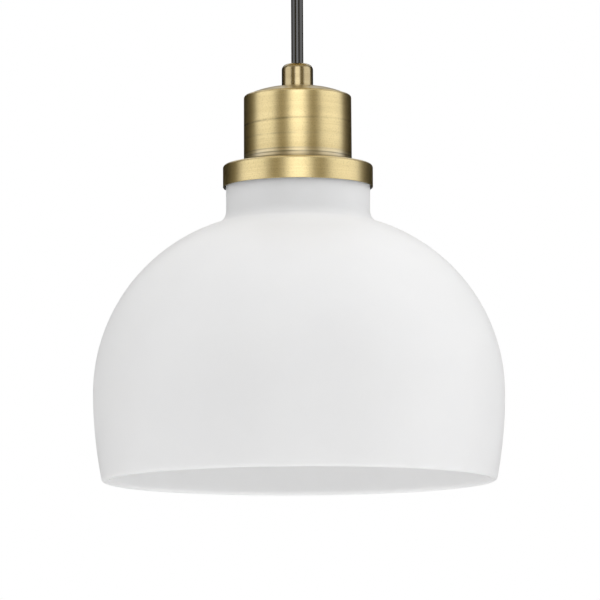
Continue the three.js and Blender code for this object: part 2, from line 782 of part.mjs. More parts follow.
function bulbInsulator() {
  const foot = -6;
  const footR = 8.6;
  return turn([
    [0, INSULATOR_TOP],
    [4.8, INSULATOR_TOP],
    [footR, -4.2],
    [footR, foot],
    [0, foot],
  ]);
}

function bulbBase() {
  const wall = 0.9;
  const wallR = THREAD_MEAN_R;
  const beadR = wallR + 0.3; // plain band under the thread
  const innerR = 11.8;
  const low = BASE_FOOT;
  const threadTop = -7.4;
  const base = turn([
    [BASE_TOP_R - wall, BASE_TOP],
    [BASE_TOP_R, BASE_TOP],
    ...threadRows(wallR, threadTop, low + 2),
    [beadR, low + 1],
    [beadR, low],
    [innerR, low],
    [innerR, threadTop],
    [BASE_TOP_R - wall, BASE_TOP - wall],
  ], THREADED);
  // The screw line is counted from the lamp head's frame, so that bulb and shell are in mesh.
  base.translate(0, 0, BULB_TIP);
  rollThread(base, wallR, BULB_TIP + low + 2.2, BULB_TIP + threadTop + 0.1);
  return base.translate(0, 0, -BULB_TIP);
}

// Plastic housing: a neck inside the base, then a trumpet that carries the globe.
function bulbHousing() {
  const neckR = 11.4;
  const neckTop = BASE_FOOT + 8;
  const top = BASE_FOOT - EASY;
  const wall = HOUSING_WALL;
  const trumpet = (inset) =>
    bend([13.3 - inset, top - 0.6 * inset], [15.5 - inset, -36], [HOUSING_R - inset, HOUSING_FOOT]);
  return turn([
    [neckR - wall, neckTop],
    [neckR, neckTop],
    [neckR, top],
    ...trumpet(0),
    ...trumpet(wall).reverse(),
    [neckR - wall, BASE_FOOT],
  ]);
}

// Open-topped shell: a shoulder under the housing, then an arc round the globe's widest place to its foot.
function bulbGlobe() {
  const middle = -BULB_LENGTH + BULB_R;
  const top = HOUSING_FOOT - EASY;
  const shoulderR = HOUSING_R + 2.6;
  const shoulderZ = middle + 0.62 * (top - middle);
  const turnAngle = GLOBE_SHOULDER;
  const shoulder = (inset) => {
    const r = BULB_R - inset;
    const end = [r * Math.cos(turnAngle), middle + r * Math.sin(turnAngle)];
    return bend([HOUSING_R - inset, top], [shoulderR - inset, shoulderZ], end);
  };
  return turn([
    ...shoulder(0),
    ...arc(0, middle, BULB_R, turnAngle, -TAU / 4, 9).slice(1),
    ...arc(0, middle, BULB_R - GLOBE_WALL, -TAU / 4, turnAngle, 9),
    ...shoulder(GLOBE_WALL).reverse().slice(1),
  ]);
}

function buildBulb(lamp) {
  const bulb = addGroup(lamp, BULB_TIP);
  addPart(bulb, "bulb_contact", bulbContact(), nickel);
  addPart(bulb, "bulb_insulator", bulbInsulator(), phenolic);
  addPart(bulb, "bulb_base", bulbBase(), nickel);
  addPart(bulb, "bulb_housing", bulbHousing(), whitePlastic);
  addPart(bulb, "bulb_globe", bulbGlobe(), opalGlass);
}

// ---- The whole light ------------------------------------------------------------

const pendant = new THREE.Group();
buildCeilingFitting(pendant);
buildCord(pendant);
const lampHead = addGroup(pendant, LAMP_Z);
buildCupAndSocket(lampHead);
buildLampWires(lampHead);
buildShade(lampHead);
buildBulb(lampHead);

export default pendant;
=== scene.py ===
"""The looks of a pendant ceiling light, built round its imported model.

A domed opal glass shade on a brass cup hangs on a black cord from a brass canopy.
Metres, +Z up. The origin is the middle of the canopy's rim.
"""
import json
import math

import bmesh
import bpy
from mathutils import Matrix, Vector


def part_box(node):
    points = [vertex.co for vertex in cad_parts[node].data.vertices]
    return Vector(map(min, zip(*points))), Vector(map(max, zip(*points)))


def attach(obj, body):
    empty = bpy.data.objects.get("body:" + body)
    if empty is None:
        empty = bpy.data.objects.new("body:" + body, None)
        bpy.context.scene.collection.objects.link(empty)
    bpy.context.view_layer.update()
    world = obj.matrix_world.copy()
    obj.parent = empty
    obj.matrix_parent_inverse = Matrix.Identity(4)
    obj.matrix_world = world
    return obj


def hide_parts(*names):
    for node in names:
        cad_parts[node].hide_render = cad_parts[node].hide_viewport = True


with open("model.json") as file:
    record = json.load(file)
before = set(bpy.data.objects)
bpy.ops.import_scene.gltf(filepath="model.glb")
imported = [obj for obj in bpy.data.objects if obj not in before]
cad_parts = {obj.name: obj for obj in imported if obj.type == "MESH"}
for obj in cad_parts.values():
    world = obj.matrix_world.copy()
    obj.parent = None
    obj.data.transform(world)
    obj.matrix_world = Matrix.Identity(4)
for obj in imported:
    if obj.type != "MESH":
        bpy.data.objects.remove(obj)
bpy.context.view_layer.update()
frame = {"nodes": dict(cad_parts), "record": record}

MM = 0.001
TAU = 2 * math.pi

# ---- Camera -----------------------------------------------------------------

CAMERA_AT = (0.0007, -2.332, -0.4808)
CAMERA_PITCH = math.radians(6.5)
CAMERA_ROLL = math.radians(-0.3)
CAMERA_LENS = 284.7


def make_camera():
    data = bpy.data.cameras.new("camera")
    data.lens = CAMERA_LENS
    data.sensor_width = 36
    data.clip_end = 100
    camera = bpy.data.objects.new("camera", data)
    turn = Matrix.Rotation(TAU / 4 + CAMERA_PITCH, 4, "X") @ Matrix.Rotation(CAMERA_ROLL, 4, "Z")
    camera.matrix_world = Matrix.Translation(CAMERA_AT) @ turn
    bpy.context.scene.collection.objects.link(camera)
    bpy.context.scene.camera = camera


make_camera()

# ---- Sizes, from the frame --------------------------------------------------


def span(node):
    """The lowest and highest place of a CAD node, and its greatest radius."""
    low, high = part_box(node)
    return low.z, high.z, max(high.x, high.y)


def middle_x(node):
    low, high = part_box(node)
    return (low.x + high.x) / 2


LAMP = span("shade_holder")[0]  # height 0 of the lamp head: the lower edge of the shade holder
CANOPY_FOOT, _, CANOPY_R = span("canopy_shell")
GRIP_FACE, GRIP_TOP, GRIP_R = span("canopy_grip")
RELIEF_FOOT, RELIEF_FACE, _ = span("strain_relief")
BUSH_DEPTH = 1.6 * MM  # from a grip's face to the middle of its ball-shaped bush
CANOPY_PIVOT = GRIP_FACE + BUSH_DEPTH
LAMP_PIVOT = RELIEF_FACE - BUSH_DEPTH
CORD_R = 3 * MM

# The cord's route, between the middles of its two bushes.
CORD_ROUTE = [
    (0, 0, -0.0355),
    (0, 0, -0.0471),
    (0, 0, -0.0571),
    (0, 0, -0.0671),
    (0, 0, -0.0674),
    (0, 0, -0.0771),
    (0, 0, -0.0871),
    (0, 0, -0.0987),
]

# ---- Mesh helpers -----------------------------------------------------------

SMALL = 48
ROUND = 96
LARGE = 192


def arc(centre_r, centre_z, radius, start, end, steps):
    """Points of an arc in the (radius, height) plane, between two angles in degrees."""
    points = []
    for i in range(steps + 1):
        angle = math.radians(start + (end - start) * i / steps)
        points.append((centre_r + radius * math.cos(angle), centre_z + radius * math.sin(angle)))
    return points


def bezier(start, control, end, steps):
    points = []
    for i in range(steps + 1):
        t = i / steps
        a, b, c = (1 - t) ** 2, 2 * t * (1 - t), t * t
        points.append(tuple(a * p + b * q + c * r for p, q, r in zip(start, control, end)))
    return points


def soften(outline, radius, steps=3):
    """Rounds every real corner of a closed outline. Points on the axis stay."""
    result = []
    count = len(outline)
    for i, point in enumerate(outline):
        here = Vector(point)
        before = Vector(outline[i - 1]) - here
        after = Vector(outline[(i + 1) % count]) - here
        straight = before.length * after.length == 0 or before.angle(after) > math.radians(155)
        if straight or here.x < 1e-7:
            result.append(tuple(here))
            continue
        half_corner = before.angle(after) / 2
        reach = min(radius / math.tan(half_corner), before.length * 0.45, after.length * 0.45)
        start = here + before.normalized() * reach
        end = here + after.normalized() * reach
        result += bezier(start, here, end, steps)
    return result


def rows(radius, start, end, count):
    """Evenly spaced points along a straight wall, both ends included."""
    return [(radius, start + (end - start) * i / count) for i in range(count + 1)]


def new_object(name, mesh):
    piece = bpy.data.objects.new(name, mesh)
    bpy.context.scene.collection.objects.link(piece)
    return piece


def mesh_of(name, bm, sharp=40):
    """A smooth-shaded object from a bmesh, with creases where faces meet at more than sharp degrees."""
    bmesh.ops.remove_doubles(bm, verts=bm.verts, dist=1e-7)
    bmesh.ops.recalc_face_normals(bm, faces=bm.faces)
    mesh = bpy.data.meshes.new(name)
    bm.to_mesh(mesh)
    bm.free()
    mesh.shade_smooth()
    mesh.set_sharp_from_angle(angle=math.radians(sharp))
    return new_object(name, mesh)


def turned(name, outline, segments=ROUND, shape=None, at=(0, 0, 0), sharp=40):
    """A solid turned about a vertical axis. shape(r, z, angle) may move the wall in or out."""
    bm = bmesh.new()
    rings = []
    for r, z in outline:
        if r < 1e-7:
            rings.append([bm.verts.new((at[0], at[1], z + at[2]))])
            continue
        ring = []
        for i in range(segments):
            angle = TAU * i / segments
            reach = shape(r, z, angle) if shape else r
            place = (at[0] + reach * math.cos(angle), at[1] + reach * math.sin(angle), z + at[2])
            ring.append(bm.verts.new(place))
        rings.append(ring)
    for a, b in zip(rings, rings[1:] + rings[:1]):
        join_rings(bm, a, b, segments)
    return mesh_of(name, bm, sharp)


def join_rings(bm, a, b, segments):
    if len(a) == 1 and len(b) == 1:
        return
    for i in range(segments):
        j = (i + 1) % segments
        corners = [a[i % len(a)], a[j % len(a)], b[j % len(b)], b[i % len(b)]]
        unique = list(dict.fromkeys(corners))
        bm.faces.new(unique)


def screw_thread(wall, low, high, pitch, depth):
    """A wall shape with a right-hand thread that fades in and out at its ends."""

    def shape(r, z, angle):
        if abs(r - wall) > 0.02 * MM or not low <= z <= high:
            return r
        fade = min(1, (z - low) / (pitch / 2), (high - z) / (pitch / 2))
        return r + depth * fade * math.cos(angle - TAU * z / pitch)

    return shape


def ribbed(low, high, count, depth):
    """A wall shape with upright ribs between two heights."""

    def shape(r, z, angle):
        inside = low <= z <= high
        return r + depth * math.cos(count * angle) if inside else r

    return shape


def hex_nut(name, across, bore, low, thick, chamfer=30):
    """A hexagon nut with the round chamfers that a lathe leaves on its six corners."""
    flat = across / 2
    slope = math.tan(math.radians(chamfer))
    crown = flat * 0.96
    countersink = 0.4 * MM
    sixth = TAU / 6
    # Each ring's radius (None follows the hexagon), height, and slope towards a corner.
    marks = [
        (bore, countersink, 0),
        (bore, thick - countersink, 0),
        (bore + countersink, thick, 0),
        (crown, thick, 0),
        (None, thick, -slope),
        (None, 0, slope),
        (crown, 0, 0),
        (bore + countersink, 0, 0),
    ]
    bm = bmesh.new()
    rings = []
    for r, height, fall in marks:
        ring = []
        for i in range(ROUND):
            angle = TAU * i / ROUND
            reach = r or flat / math.cos((angle % sixth) - sixth / 2)
            z = low + height + max(0, reach - crown) * fall
            ring.append(bm.verts.new((reach * math.cos(angle), reach * math.sin(angle), z)))
        rings.append(ring)
    for a, b in zip(rings, rings[1:] + rings[:1]):
        join_rings(bm, a, b, ROUND)
    return mesh_of(name, bm, 25)


def wire(name, points, radius):
    """A round wire along points, as a mesh tube with closed ends."""
    curve = bpy.data.curves.new(name, "CURVE")
    curve.dimensions = "3D"
    curve.bevel_depth = radius
    curve.bevel_resolution = 5
    curve.resolution_u = 8
    curve.use_fill_caps = True
    spline = curve.splines.new("BEZIER")
    spline.bezier_points.add(len(points) - 1)
    for knot, place in zip(spline.bezier_points, points):
        knot.co = place
        knot.handle_left_type = "AUTO"
        knot.handle_right_type = "AUTO"
    return as_mesh(name, curve)


def as_mesh(name, curve):
    """Turns a curve into a smooth mesh object, and drops the curve."""
    source = new_object(name + ".source", curve)
    evaluated = source.evaluated_get(bpy.context.evaluated_depsgraph_get())
    mesh = bpy.data.meshes.new_from_object(evaluated)
    bpy.data.objects.remove(source)
    mesh.shade_smooth()
    mesh.set_sharp_from_angle(angle=math.radians(40))
    return new_object(name, mesh)


def flat_plate(name, outer, holes, low, thick, edge):
    """A stamped plate with softened edges, from an outer outline and holes, each a list of points."""
    curve = bpy.data.curves.new(name, "CURVE")
    curve.dimensions = "2D"
    curve.fill_mode = "BOTH"
    curve.extrude = thick / 2 - edge
    curve.bevel_depth = edge
    curve.bevel_resolution = 2
    curve.offset = -edge
    for outline in [outer, *holes]:
        spline = curve.splines.new("POLY")
        spline.points.add(len(outline) - 1)
        for knot, (x, y) in zip(spline.points, outline):
            knot.co = (x, y, 0, 1)
        spline.use_cyclic_u = True
    piece = as_mesh(name, curve)
    piece.data.transform(Matrix.Translation((0, 0, low + thick / 2)))
    return piece


def drill(piece, tools):
    """Cuts each tool out of the piece, and drops the tools."""
    for tool in tools:
        cutter = piece.modifiers.new("cut", "BOOLEAN")
        cutter.operation = "DIFFERENCE"
        cutter.solver = "EXACT"
        cutter.object = tool
    bpy.context.view_layer.update()
    evaluated = piece.evaluated_get(bpy.context.evaluated_depsgraph_get())
    mesh = bpy.data.meshes.new_from_object(evaluated)
    piece.modifiers.clear()
    piece.data = mesh
    for tool in tools:
        bpy.data.objects.remove(tool)
    mesh.set_sharp_from_angle(angle=math.radians(40))


# ---- Material helpers -------------------------------------------------------


def add(tree, kind, inputs=None, **settings):
    """Adds a shader node. Each input is a plain value or another node's output."""
    node = tree.nodes.new("ShaderNode" + kind)
    for key, value in settings.items():
        setattr(node, key, value)
    for key, value in (inputs or {}).items():
        if isinstance(value, bpy.types.NodeSocket):
            tree.links.new(value, node.inputs[key])
        else:
            node.inputs[key].default_value = value
    return node


def maths(tree, operation, a, b=0.0):
    return add(tree, "Math", {0: a, 1: b}, operation=operation).outputs[0]


def vary(tree, source, low, high, start=0.0, end=1.0):
    """Maps a texture's value from start..end to low..high."""
    inputs = {"Value": source, "From Min": start, "From Max": end, "To Min": low, "To Max": high}
    return add(tree, "MapRange", inputs).outputs["Result"]


def blend_colours(tree, share, first, second):
    node = add(tree, "Mix", {0: share, 6: first, 7: second}, data_type="RGBA")
    return node.outputs[2]


def noise(tree, vector, scale, detail=3.0, roughness=0.5):
    inputs = {"Vector": vector, "Scale": scale, "Detail": detail, "Roughness": roughness}
    return add(tree, "TexNoise", inputs).outputs[0]


def bumped(tree, height, strength, distance):
    inputs = {"Height": height, "Strength": strength, "Distance": distance}
    return add(tree, "Bump", inputs).outputs[0]


def new_material(name, **values):
    """A material with one Principled shader, its tree and that shader."""
    material = bpy.data.materials.new(name)
    material.use_nodes = True
    tree = material.node_tree
    shader = tree.nodes["Principled BSDF"]
    for key, value in values.items():
        shader.inputs[key.replace("_", " ")].default_value = value
    return material, tree, shader


def object_place(tree):
    return add(tree, "TexCoord").outputs["Object"]


def split_place(tree):
    return add(tree, "SeparateXYZ", {0: object_place(tree)}).outputs[:3]


def from_axis(tree, x, y):
    squares = [maths(tree, "MULTIPLY", part, part) for part in (x, y)]
    return maths(tree, "SQRT", maths(tree, "ADD", *squares))


def past(tree, value, limit):
    return maths(tree, "GREATER_THAN", value, limit)


def lathe_grain(tree, along, across):
    """Coordinates stretched round the axis: noise on them runs in lines, as on a turned surface."""
    x, y, z = split_place(tree)
    track = maths(tree, "ADD", z, from_axis(tree, x, y))
    parts = {
        0: maths(tree, "MULTIPLY", x, along),
        1: maths(tree, "MULTIPLY", y, along),
        2: maths(tree, "MULTIPLY", track, across),
    }
    return add(tree, "CombineXYZ", parts).outputs[0]


# ---- Materials --------------------------------------------------------------

PATINA = (0.4, 0.3, 0.13, 1)
PALE_BAND = (0.9, 0.88, 0.8, 1)
# brown for the lathe and scored lines, and the painted shade at the cup's foot
DARK_LINE_AND_SHADE = (0.2, 0.155, 0.075, 1)
# near-black painted shade for the holder's inside, lower lip and plate corner
PAINTED_SHADE_BLACK = (0.04, 0.03, 0.015, 1)

# Heights above the foot of the cup.
FIRST_LINE = 1.7 * MM
LINE_STEP = 1.75 * MM
FAINT_LINE = 12.6 * MM
SCORED_LINE = 20.1 * MM
SCORED_TILT = 0.03


def aged_brass(name, smooth, rough, dulled, polished):
    """Brass brushed round the turned pieces, with faint bands, fine grain and a slight brown patina."""
    material, tree, shader = new_material(
        name,
        Metallic=1.0,
        Anisotropic=0.2,
        Anisotropic_Rotation=0.25,
        Coat_Weight=0.8,
        Coat_Roughness=0.3,
        Coat_IOR=1.6,
    )
    place = object_place(tree)
    brushing = noise(tree, lathe_grain(tree, 9, 1900), 1.0, 4, 0.6)
    bands = noise(tree, lathe_grain(tree, 6, 380), 1.0, 2, 0.5)
    grain = noise(tree, place, 1500, 2, 0.6)
    patina = noise(tree, place, 42, 4, 0.6)
    fine_streaks = vary(tree, brushing, 0, 0.6, 0.36, 0.64)
    wide_streaks = vary(tree, bands, 0, 0.5, 0.35, 0.65)
    streaks = maths(tree, "ADD", fine_streaks, wide_streaks)
    colour = blend_colours(tree, streaks, (*dulled, 1), (*polished, 1))
    spots = vary(tree, patina, 0, 0.22, 0.5, 0.75)
    colour = blend_colours(tree, spots, colour, PATINA)
    specks = vary(tree, grain, 0.3, 0, 0.3, 0.52)
    colour = blend_colours(tree, specks, colour, PATINA)
    colour = blend_colours(tree, pale_foot(tree), colour, PALE_BAND)
    # lathe and scored lines, with painted shade at the cup's foot
    colour = blend_colours(tree, lathe_lines_and_foot_shade(tree), colour, DARK_LINE_AND_SHADE)
    # painted shade on the holder's inside, lip and the plate beside the cup
    colour = blend_colours(tree, holder_shadow(tree), colour, PAINTED_SHADE_BLACK)
    tree.links.new(colour, shader.inputs["Base Color"])
    tree.links.new(vary(tree, brushing, rough, smooth, 0.3, 0.7), shader.inputs["Roughness"])
    height = maths(tree, "ADD", brushing, vary(tree, grain, 0, 0.3, 0.3, 0.7))
    tree.links.new(bumped(tree, height, 0.16, 0.00003), shader.inputs["Normal"])
    tangent = add(tree, "Tangent", direction_type="RADIAL", axis="Z").outputs[0]
    tree.links.new(tangent, shader.inputs["Tangent"])
    return material


def pale_foot(tree):
    """A paler, less yellow band round the foot of the cup."""
    z = split_place(tree)[2]
    foot = span("socket_cup")[0]
    fading = vary(tree, z, 0.6, 0, foot + 3 * MM, foot + 6 * MM)
    return maths(tree, "MULTIPLY", fading, past(tree, z, foot))


def lathe_lines_and_foot_shade(tree):
    """Three dark lathe lines round the cup's foot, deepened to paint the shade there, and two scored
    lines that wear off to the right.
    """
    x, _, z = split_place(tree)
    foot = span("socket_cup")[0]
    phase = maths(tree, "MULTIPLY", maths(tree, "SUBTRACT", z, foot + FIRST_LINE), TAU / LINE_STEP)
    depth = vary(tree, noise(tree, lathe_grain(tree, 40, 300), 1.0, 2, 0.5), 0.35, 0.85, 0.4, 0.6)
    lines = maths(tree, "MULTIPLY", vary(tree, maths(tree, "COSINE", phase), 0, 1, 0.1, 0.9), depth)
    under_end = vary(tree, z, 1, 0, foot + 5.4 * MM, foot + 6.2 * MM)
    inside = maths(tree, "MULTIPLY", under_end, past(tree, z, foot))
    faint_top = vary(tree, z, 1, 0.5, foot + 3.8 * MM, foot + 5 * MM)
    # the lathe lines, deepened to paint the shade at the foot
    foot_lines_and_shade = maths(tree, "MULTIPLY", maths(tree, "MULTIPLY", inside, lines), faint_top)

    tilted = maths(tree, "SUBTRACT", z, maths(tree, "MULTIPLY", x, SCORED_TILT))
    upper_line = line_at(tree, tilted, foot + SCORED_LINE, 1)
    lower_line = line_at(tree, z, foot + FAINT_LINE, 0.4)
    worn = vary(tree, x, 0.62, 0.15, -10 * MM, 12 * MM)
    broken = vary(tree, noise(tree, object_place(tree), 180, 2, 0.6), 0.35, 1, 0.4, 0.6)
    scored = maths(tree, "MULTIPLY", maths(tree, "ADD", upper_line, lower_line), worn)
    return maths(tree, "ADD", foot_lines_and_shade, maths(tree, "MULTIPLY", scored, broken))


def line_at(tree, height, middle, strength):
    """A soft line round the cup at one height."""
    off_line = maths(tree, "ABSOLUTE", maths(tree, "SUBTRACT", height, middle))
    return vary(tree, off_line, strength, 0, 0.1 * MM, 0.7 * MM)


def holder_shadow(tree):
    """Painted shade on the holder: its inside and lower lip, where the gap to the glass is dark, and its
    top plate in the corner by the cup.
    """
    x, y, z = split_place(tree)
    across = from_axis(tree, x, y)
    _, top, radius = span("shade_holder")
    above = past(tree, z, top - 1 * MM)
    outside = past(tree, across, radius - 0.28 * MM)
    inside = maths(tree, "SUBTRACT", 1.0, maths(tree, "MAXIMUM", above, outside))
    # painted shade, darkest in the corner beside the cup
    corner = vary(tree, across, 0.5, 0.1, span("socket_cup")[2], radius - 1.5 * MM)
    on_plate = maths(tree, "MULTIPLY", past(tree, z, top - 0.1 * MM), past(tree, top + 0.05 * MM, z))
    return maths(tree, "MAXIMUM", inside, maths(tree, "MULTIPLY", on_plate, corner))


def opal_glass():
    """White opal glass, painted whiter at the neck to lift its shade, with a satin skin and the faint
    waves of blowing.
    """
    material, tree, shader = new_material(
        "opal_glass",
        Subsurface_Weight=0.9,
        Subsurface_Radius=(1.0, 0.99, 0.97),
        Subsurface_Scale=0.008,
        Specular_IOR_Level=0.35,
    )
    place = object_place(tree)
    clouds = noise(tree, place, 14, 3, 0.5)
    waves = noise(tree, place, 30, 2, 0.4)
    grain = noise(tree, place, 2600, 2, 0.5)
    cloudy = vary(tree, clouds, 0, 1, 0.3, 0.7)
    colour = blend_colours(tree, cloudy, (0.86, 0.86, 0.865, 1), (0.9, 0.9, 0.9, 1))
    # painted light: whiter towards the neck, to lift the shade under the holder
    painted_neck_light = vary(tree, split_place(tree)[2], 0, 1, LAMP - 26 * MM, LAMP - 6 * MM)
    colour = blend_colours(tree, painted_neck_light, colour, (0.96, 0.96, 0.965, 1))
    tree.links.new(colour, shader.inputs["Base Color"])
    tree.links.new(vary(tree, waves, 0.4, 0.5, 0.3, 0.7), shader.inputs["Roughness"])
    height = maths(tree, "ADD", waves, maths(tree, "MULTIPLY", grain, 0.02))
    tree.links.new(bumped(tree, height, 0.2, 0.0006), shader.inputs["Normal"])
    return material


def frosted_globe():
    material, tree, shader = new_material(
        "frosted_globe",
        Subsurface_Weight=0.8,
        Subsurface_Radius=(1.0, 0.98, 0.94),
        Subsurface_Scale=0.003,
    )
    place = object_place(tree)
    grain = noise(tree, place, 3200, 2, 0.6)
    clouds = noise(tree, place, 60, 2, 0.5)
    colour = blend_colours(tree, clouds, (0.88, 0.88, 0.86, 1), (0.93, 0.93, 0.91, 1))
    tree.links.new(colour, shader.inputs["Base Color"])
    tree.links.new(vary(tree, grain, 0.45, 0.6, 0.3, 0.7), shader.inputs["Roughness"])
    tree.links.new(bumped(tree, grain, 0.12, 0.00003), shader.inputs["Normal"])
    return material


def moulded(name, dark, light, rough, grain=1800, depth=0.00002, **values):
    """A moulded or sheathed plastic or rubber: fine grain, slight mottling and uneven gloss."""
    material, tree, shader = new_material(name, **values)
    place = object_place(tree)
    fine = noise(tree, place, grain, 3, 0.6)
    mottle = noise(tree, place, 90, 3, 0.5)
    colour = blend_colours(tree, vary(tree, mottle, 0, 1, 0.3, 0.7), (*dark, 1), (*light, 1))
    tree.links.new(colour, shader.inputs["Base Color"])
    uneven = vary(tree, mottle, rough - 0.04, rough, 0.3, 0.7)
    gloss = maths(tree, "ADD", uneven, maths(tree, "MULTIPLY", fine, 0.08))
    tree.links.new(gloss, shader.inputs["Roughness"])
    tree.links.new(bumped(tree, fine, 0.25, depth), shader.inputs["Normal"])
    return material


def plated(name, dark, light, rough):
    """Plated steel or brass: bright metal with cloudy tone and fine grain."""
    material, tree, shader = new_material(name, Metallic=1.0)
    place = object_place(tree)
    clouds = noise(tree, place, 160, 4, 0.6)
    grain = noise(tree, place, 2400, 3, 0.6)
    colour = blend_colours(tree, vary(tree, clouds, 0, 1, 0.35, 0.65), (*dark, 1), (*light, 1))
    tree.links.new(colour, shader.inputs["Base Color"])
    tree.links.new(vary(tree, clouds, rough, rough + 0.14, 0.3, 0.7), shader.inputs["Roughness"])
    tree.links.new(bumped(tree, grain, 0.2, 0.00002), shader.inputs["Normal"])
    return material


def cord_sheath():
    """Glossy black cord sheath."""
    dark = (0.002, 0.002, 0.0022)
    light = (0.004, 0.004, 0.0043)
    gloss = {"IOR": 1.55, "Specular_IOR_Level": 1.0}
    return moulded("cord_sheath", dark, light, 0.12, 900, 0.000006, **gloss)


MATERIALS = {
    "aged_brass": aged_brass("aged_brass", 0.3, 0.36, (0.75, 0.6, 0.285), (0.86, 0.7, 0.355)),
    "turned_brass": aged_brass("turned_brass", 0.19, 0.25, (0.46, 0.36, 0.185), (0.57, 0.46, 0.255)),
    "opal_glass": opal_glass(),
    "frosted_globe": frosted_globe(),
    "cord_sheath": cord_sheath(),
    "black_rubber": moulded("black_rubber", (0.01, 0.01, 0.011), (0.018, 0.018, 0.019), 0.6),
    "zinc_steel": plated("zinc_steel", (0.5, 0.51, 0.54), (0.68, 0.68, 0.69), 0.28),
    "nickel": plated("nickel", (0.6, 0.57, 0.52), (0.76, 0.73, 0.68), 0.18),
    "spring_brass": plated("spring_brass", (0.62, 0.45, 0.18), (0.8, 0.62, 0.3), 0.22),
    "phenolic": moulded("phenolic", (0.018, 0.016, 0.015), (0.03, 0.027, 0.025), 0.38),
    "white_plastic": moulded("white_plastic", (0.8, 0.8, 0.78), (0.86, 0.86, 0.84), 0.38),
    "silicone": moulded("silicone", (0.62, 0.61, 0.58), (0.72, 0.71, 0.68), 0.55),
    "black_insulation": moulded("black_insulation", (0.014, 0.014, 0.014), (0.024, 0.024, 0.024), 0.35),
    "white_insulation": moulded("white_insulation", (0.72, 0.71, 0.68), (0.8, 0.79, 0.76), 0.38),
    "green_plastic": moulded("green_plastic", (0.02, 0.16, 0.045), (0.035, 0.22, 0.07), 0.38),
    "orange_plastic": moulded("orange_plastic", (0.62, 0.2, 0.03), (0.75, 0.28, 0.05), 0.42),
}


def paint(piece, slot, look=None):
    """Puts a piece in one of the record's slots, with that slot's material or a finish close to it."""
    piece.data.materials.clear()
    piece.data.materials.append(MATERIALS[look or slot])


SLOT_OF = {part["node"]: part["material_slot"] for part in frame["record"]["subparts"]}


def stand_in(piece, body, *nodes, look=None):
    """The piece is shown instead of these CAD nodes, with their finish, and moves with their body."""
    paint(piece, SLOT_OF[nodes[0]], look)
    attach(piece, body)
    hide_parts(*nodes)


def paint_cad_nodes():
    for name, node in frame["nodes"].items():
        for slot in node.material_slots:
            slot.material = MATERIALS[SLOT_OF[name]]


# ---- Cord, its bushes and the grips at its two ends -------------------------

BUSH_R = 4.6 * MM
BUSH_CUT = 2.8 * MM  # how far the ball goes past its middle before it is cut off flat
BUSH_MOUTH_R = 4.05 * MM
SEAT_R = BUSH_R + 0.3 * MM
GRIP_BORE = 3.4 * MM
GRIP_ROUND = 3.1 * MM


def make_cord():
    """One round sheath from bush to bush, with domed ends that can lean inside the bushes."""
    high, low = CORD_ROUTE[0][2], CORD_ROUTE[-1][2]
    dome = 0.8 * MM
    outline = [
        (0, high),
        *arc(CORD_R - dome, high - dome, dome, 90, 0, 4),
        *arc(CORD_R - dome, low + dome, dome, 0, -90, 4),
        (0, low),
    ]
    cord = turned("cord", outline, SMALL)
    stand_in(cord, "cord_upper", "cord_upper", "cord_lower")


def make_bush(node, body, pivot, up):
    """A ball-shaped rubber bush with a bell mouth that faces up (1) or down (-1)."""
    mouth = BUSH_DEPTH - 0.2 * MM
    mouth_angle = math.degrees(math.asin(mouth / BUSH_R))
    cut_angle = math.degrees(math.asin(BUSH_CUT / BUSH_R))
    ball = arc(0, 0, BUSH_R, mouth_angle, -cut_angle, 12)
    bore = CORD_R + 0.12 * MM
    bell = bezier((bore, -1 * MM), (bore, 0.4 * MM), (BUSH_MOUTH_R, mouth), 6)
    outline = [(r, up * z + pivot) for r, z in [*ball, (bore, -BUSH_CUT), *bell]]
    stand_in(turned(node + "_moulding", soften(outline, 0.12 * MM), SMALL), body, node)


def grip_outline(face, foot, foot_bore, foot_depth):
    """The round brass grip, mouth up: bell seat for the bush, rounded shoulder, straight side."""
    ball = face - BUSH_DEPTH
    mouth = math.degrees(math.asin(BUSH_DEPTH / SEAT_R))
    throat = -math.degrees(math.acos(GRIP_BORE / SEAT_R))
    return [
        *arc(0, ball, SEAT_R, throat, mouth, 12),
        *arc(GRIP_R - GRIP_ROUND, face - GRIP_ROUND, GRIP_ROUND, 90, 0, 10),
        (GRIP_R, foot),
        (foot_bore, foot),
        (foot_bore, foot + foot_depth),
        (GRIP_BORE, foot + foot_depth),
    ]


# ---- Canopy -----------------------------------------------------------------

CANOPY_WALL = 0.9 * MM
CANOPY_ROUND = 2.2 * MM
CANOPY_HOLE_R = 5.9 * MM
STUD_X = middle_x("canopy_stud_right")
STUD_HOLE_R = 2.6 * MM
STUD_PITCH = 0.7 * MM
CAP_NUT_DOME = 3 * MM
CAP_NUT_BORE_R = 2.25 * MM
CAP_NUT_BORE_DEPTH = 3.4 * MM
CAP_NUT_KNURLS = 40
GRIP_STUB_R = 5.6 * MM
GRIP_STUB_PITCH = 1 * MM
GRIP_NUT_ACROSS = 16 * MM
GRIP_NUT_BORE_R = 5.9 * MM
GRIP_GAP = 0.1 * MM  # between the canopy's outside and the shoulder of the grip
BAR_SLOT_X = 32 * MM
BAR_SLOT_HALF_RUN = 3.5 * MM
BAR_SLOT_R = 2.2 * MM
BAR_CENTRE_R = 5.5 * MM


